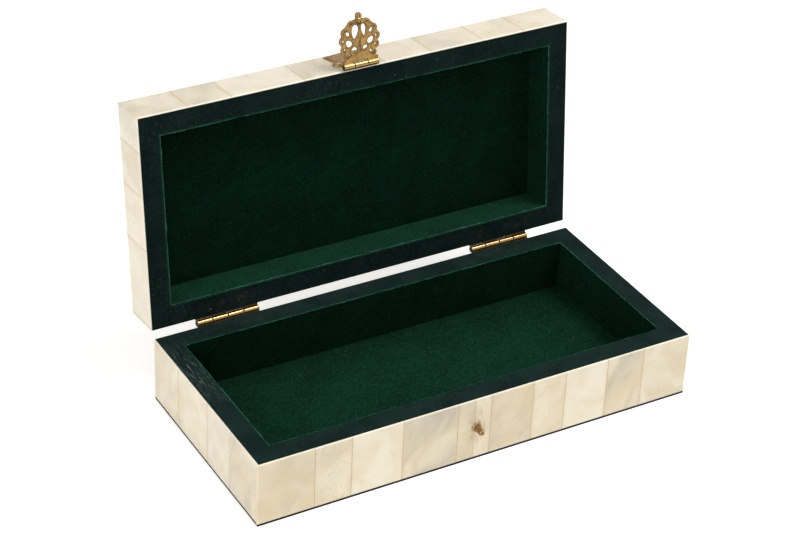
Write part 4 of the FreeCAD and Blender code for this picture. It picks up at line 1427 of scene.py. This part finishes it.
def plateTop(x, y, inside):
    side, look = abs(x), plateLook
    border, lobeRing, strokes = look["border"], look["lobeRing"], look["feathers"]
    spot, radius = look["lobe"]
    depths = [groove(plateGap(x, y) + border["in"], *border["cut"]),
              groove(roundGap(side, y, spot, radius - lobeRing["in"]), *lobeRing["cut"])]
    if y > strokes["from"] and side > strokes["beside"]:  # feather strokes on the wings
        feather = math.sin(side * strokes["across"] + y * strokes["along"])
        depths.append(strokes["depth"] * max(0.0, feather - strokes["level"]) / (1 - strokes["level"]))
    depth = max(depths)
    return look["thick"] - roundDrop(inside, look["edge"]) - depth, min(1.0, depth / look["darkAt"])


def plateBottom(x, y, inside):
    return plateLook["offBone"]


def haspPlate():
    look = plateLook
    onLid = Vector((haspPoint.x, shutBox("lid_front_tiles")[0].y, hingePoint.z))
    seat = openLid @ Matrix.Translation(onLid) @ Matrix.Rotation(math.pi / 2, 4, "X")
    plate = castPlate(look["box"], look["cell"], plateGap, plateTop, plateBottom)
    piece = makePiece("hasp_wings", [plate], seat, ("engraved",), castLook["crease"])
    settle(piece, "lid", "aged_brass", "hasp_plate")
    rolled = haspKnuckles(look["knuckle"], 1, (0, 0, look["axis"] * mm))
    middle = makePiece("hasp_wings_knuckle", [rolled], seat, ("polished_brass",), hingeLook["crease"])
    settle(middle, "lid", "polished_brass")

    spots = [(x * mm, y * mm, look["thick"] * mm) for x, y in look["pins"]]
    values = {label: size * mm for label, size in look["pin"].items()}
    pins = growPart(rivets, {**values, "Material": materials["aged_brass"]}, spots)
    heads = makePiece("hasp_rivets", [pins], seat, ("aged_brass",), look["pinCrease"])
    settle(heads, "lid", "aged_brass", "hasp_plate_pins")


haspPlate()
print("hasp plate: wings and rivets")


# catch stud: turned brass with a flange and a dimpled end

studLook = {  # millimetres: radius and distance out from the bone
    "outline": [(0, -7.0), (0.85, -7.0), (1.0, -6.8), (1.0, 0.0), (2.55, 0.0), (2.72, 0.08), (2.78, 0.24),
                (2.78, 0.5), (2.68, 0.68), (2.5, 0.78), (2.1, 0.86), (1.88, 1.1), (1.78, 1.35), (1.75, 1.9),
                (1.74, 5.4), (1.68, 5.74), (1.5, 6.0), (1.22, 6.12), (0.9, 6.1), (0.7, 5.96), (0.42, 5.6),
                (0.2, 5.42), (0, 5.38)],
    "turns": 40,
    "crease": 40,
    "shadedSpans": [(-7.0, 0.12), (0.82, 1.4)],  # painted shade: at the bone and in the corner between flange and shaft
    "dimple": 0.8,
    "paintedShade": 0.75,
    "handled": 0.12,
}


def lathe(outline, turns):
    points, faces, rings = [], [], []
    for radius, out in outline:
        if radius == 0:
            rings.append([len(points)] * turns)
            points.append(Vector((0, 0, out)) * mm)
            continue
        rings.append(list(range(len(points), len(points) + turns)))
        for k in range(turns):
            angle = 2 * math.pi * k / turns
            points.append(Vector((radius * math.cos(angle), radius * math.sin(angle), out)) * mm)
    for near, far in zip(rings, rings[1:]):
        for k in range(turns):
            after = (k + 1) % turns
            ring = [near[k], near[after], far[after], far[k]]
            faces.append(list(dict.fromkeys(ring)))
    return {"points": points, "faces": faces, "smooth": len(faces)}


def catchStud():
    boneY = shutBox("base_front_tiles")[0].y
    seat = Matrix.Translation((studPlace.x, boneY, studPlace.z)) @ Matrix.Rotation(math.pi / 2, 4, "X")
    turned = lathe(studLook["outline"], studLook["turns"])
    grimeAndShade = []
    for point in turned["points"]:
        # painted shade in the corner, in the dimple and against the bone
        inShade = any(low < point.z / mm < high for low, high in studLook["shadedSpans"])
        inShade = inShade or math.hypot(point.x, point.y) < studLook["dimple"] * mm
        grimeAndShade.append(studLook["paintedShade"] if inShade else studLook["handled"])
    turned["marks"] = {"patinaAndShade": grimeAndShade}
    piece = makePiece("stud", [turned], seat, ("aged_brass",), studLook["crease"])
    settle(piece, "base", "aged_brass", "catch_stud")


catchStud()
print("catch stud: turned")


# nodes that stay as the frame has them

plainKinds = {"wall": "wood", "board": "wood", "screws": "steel", "pin": "aged_brass"}
for node, thing in frame["nodes"].items():
    if not thing.hide_render:
        kind = plainKinds[node.split("_")[-1]]
        thing.data.materials.clear()
        thing.data.materials.append(materials[kind])
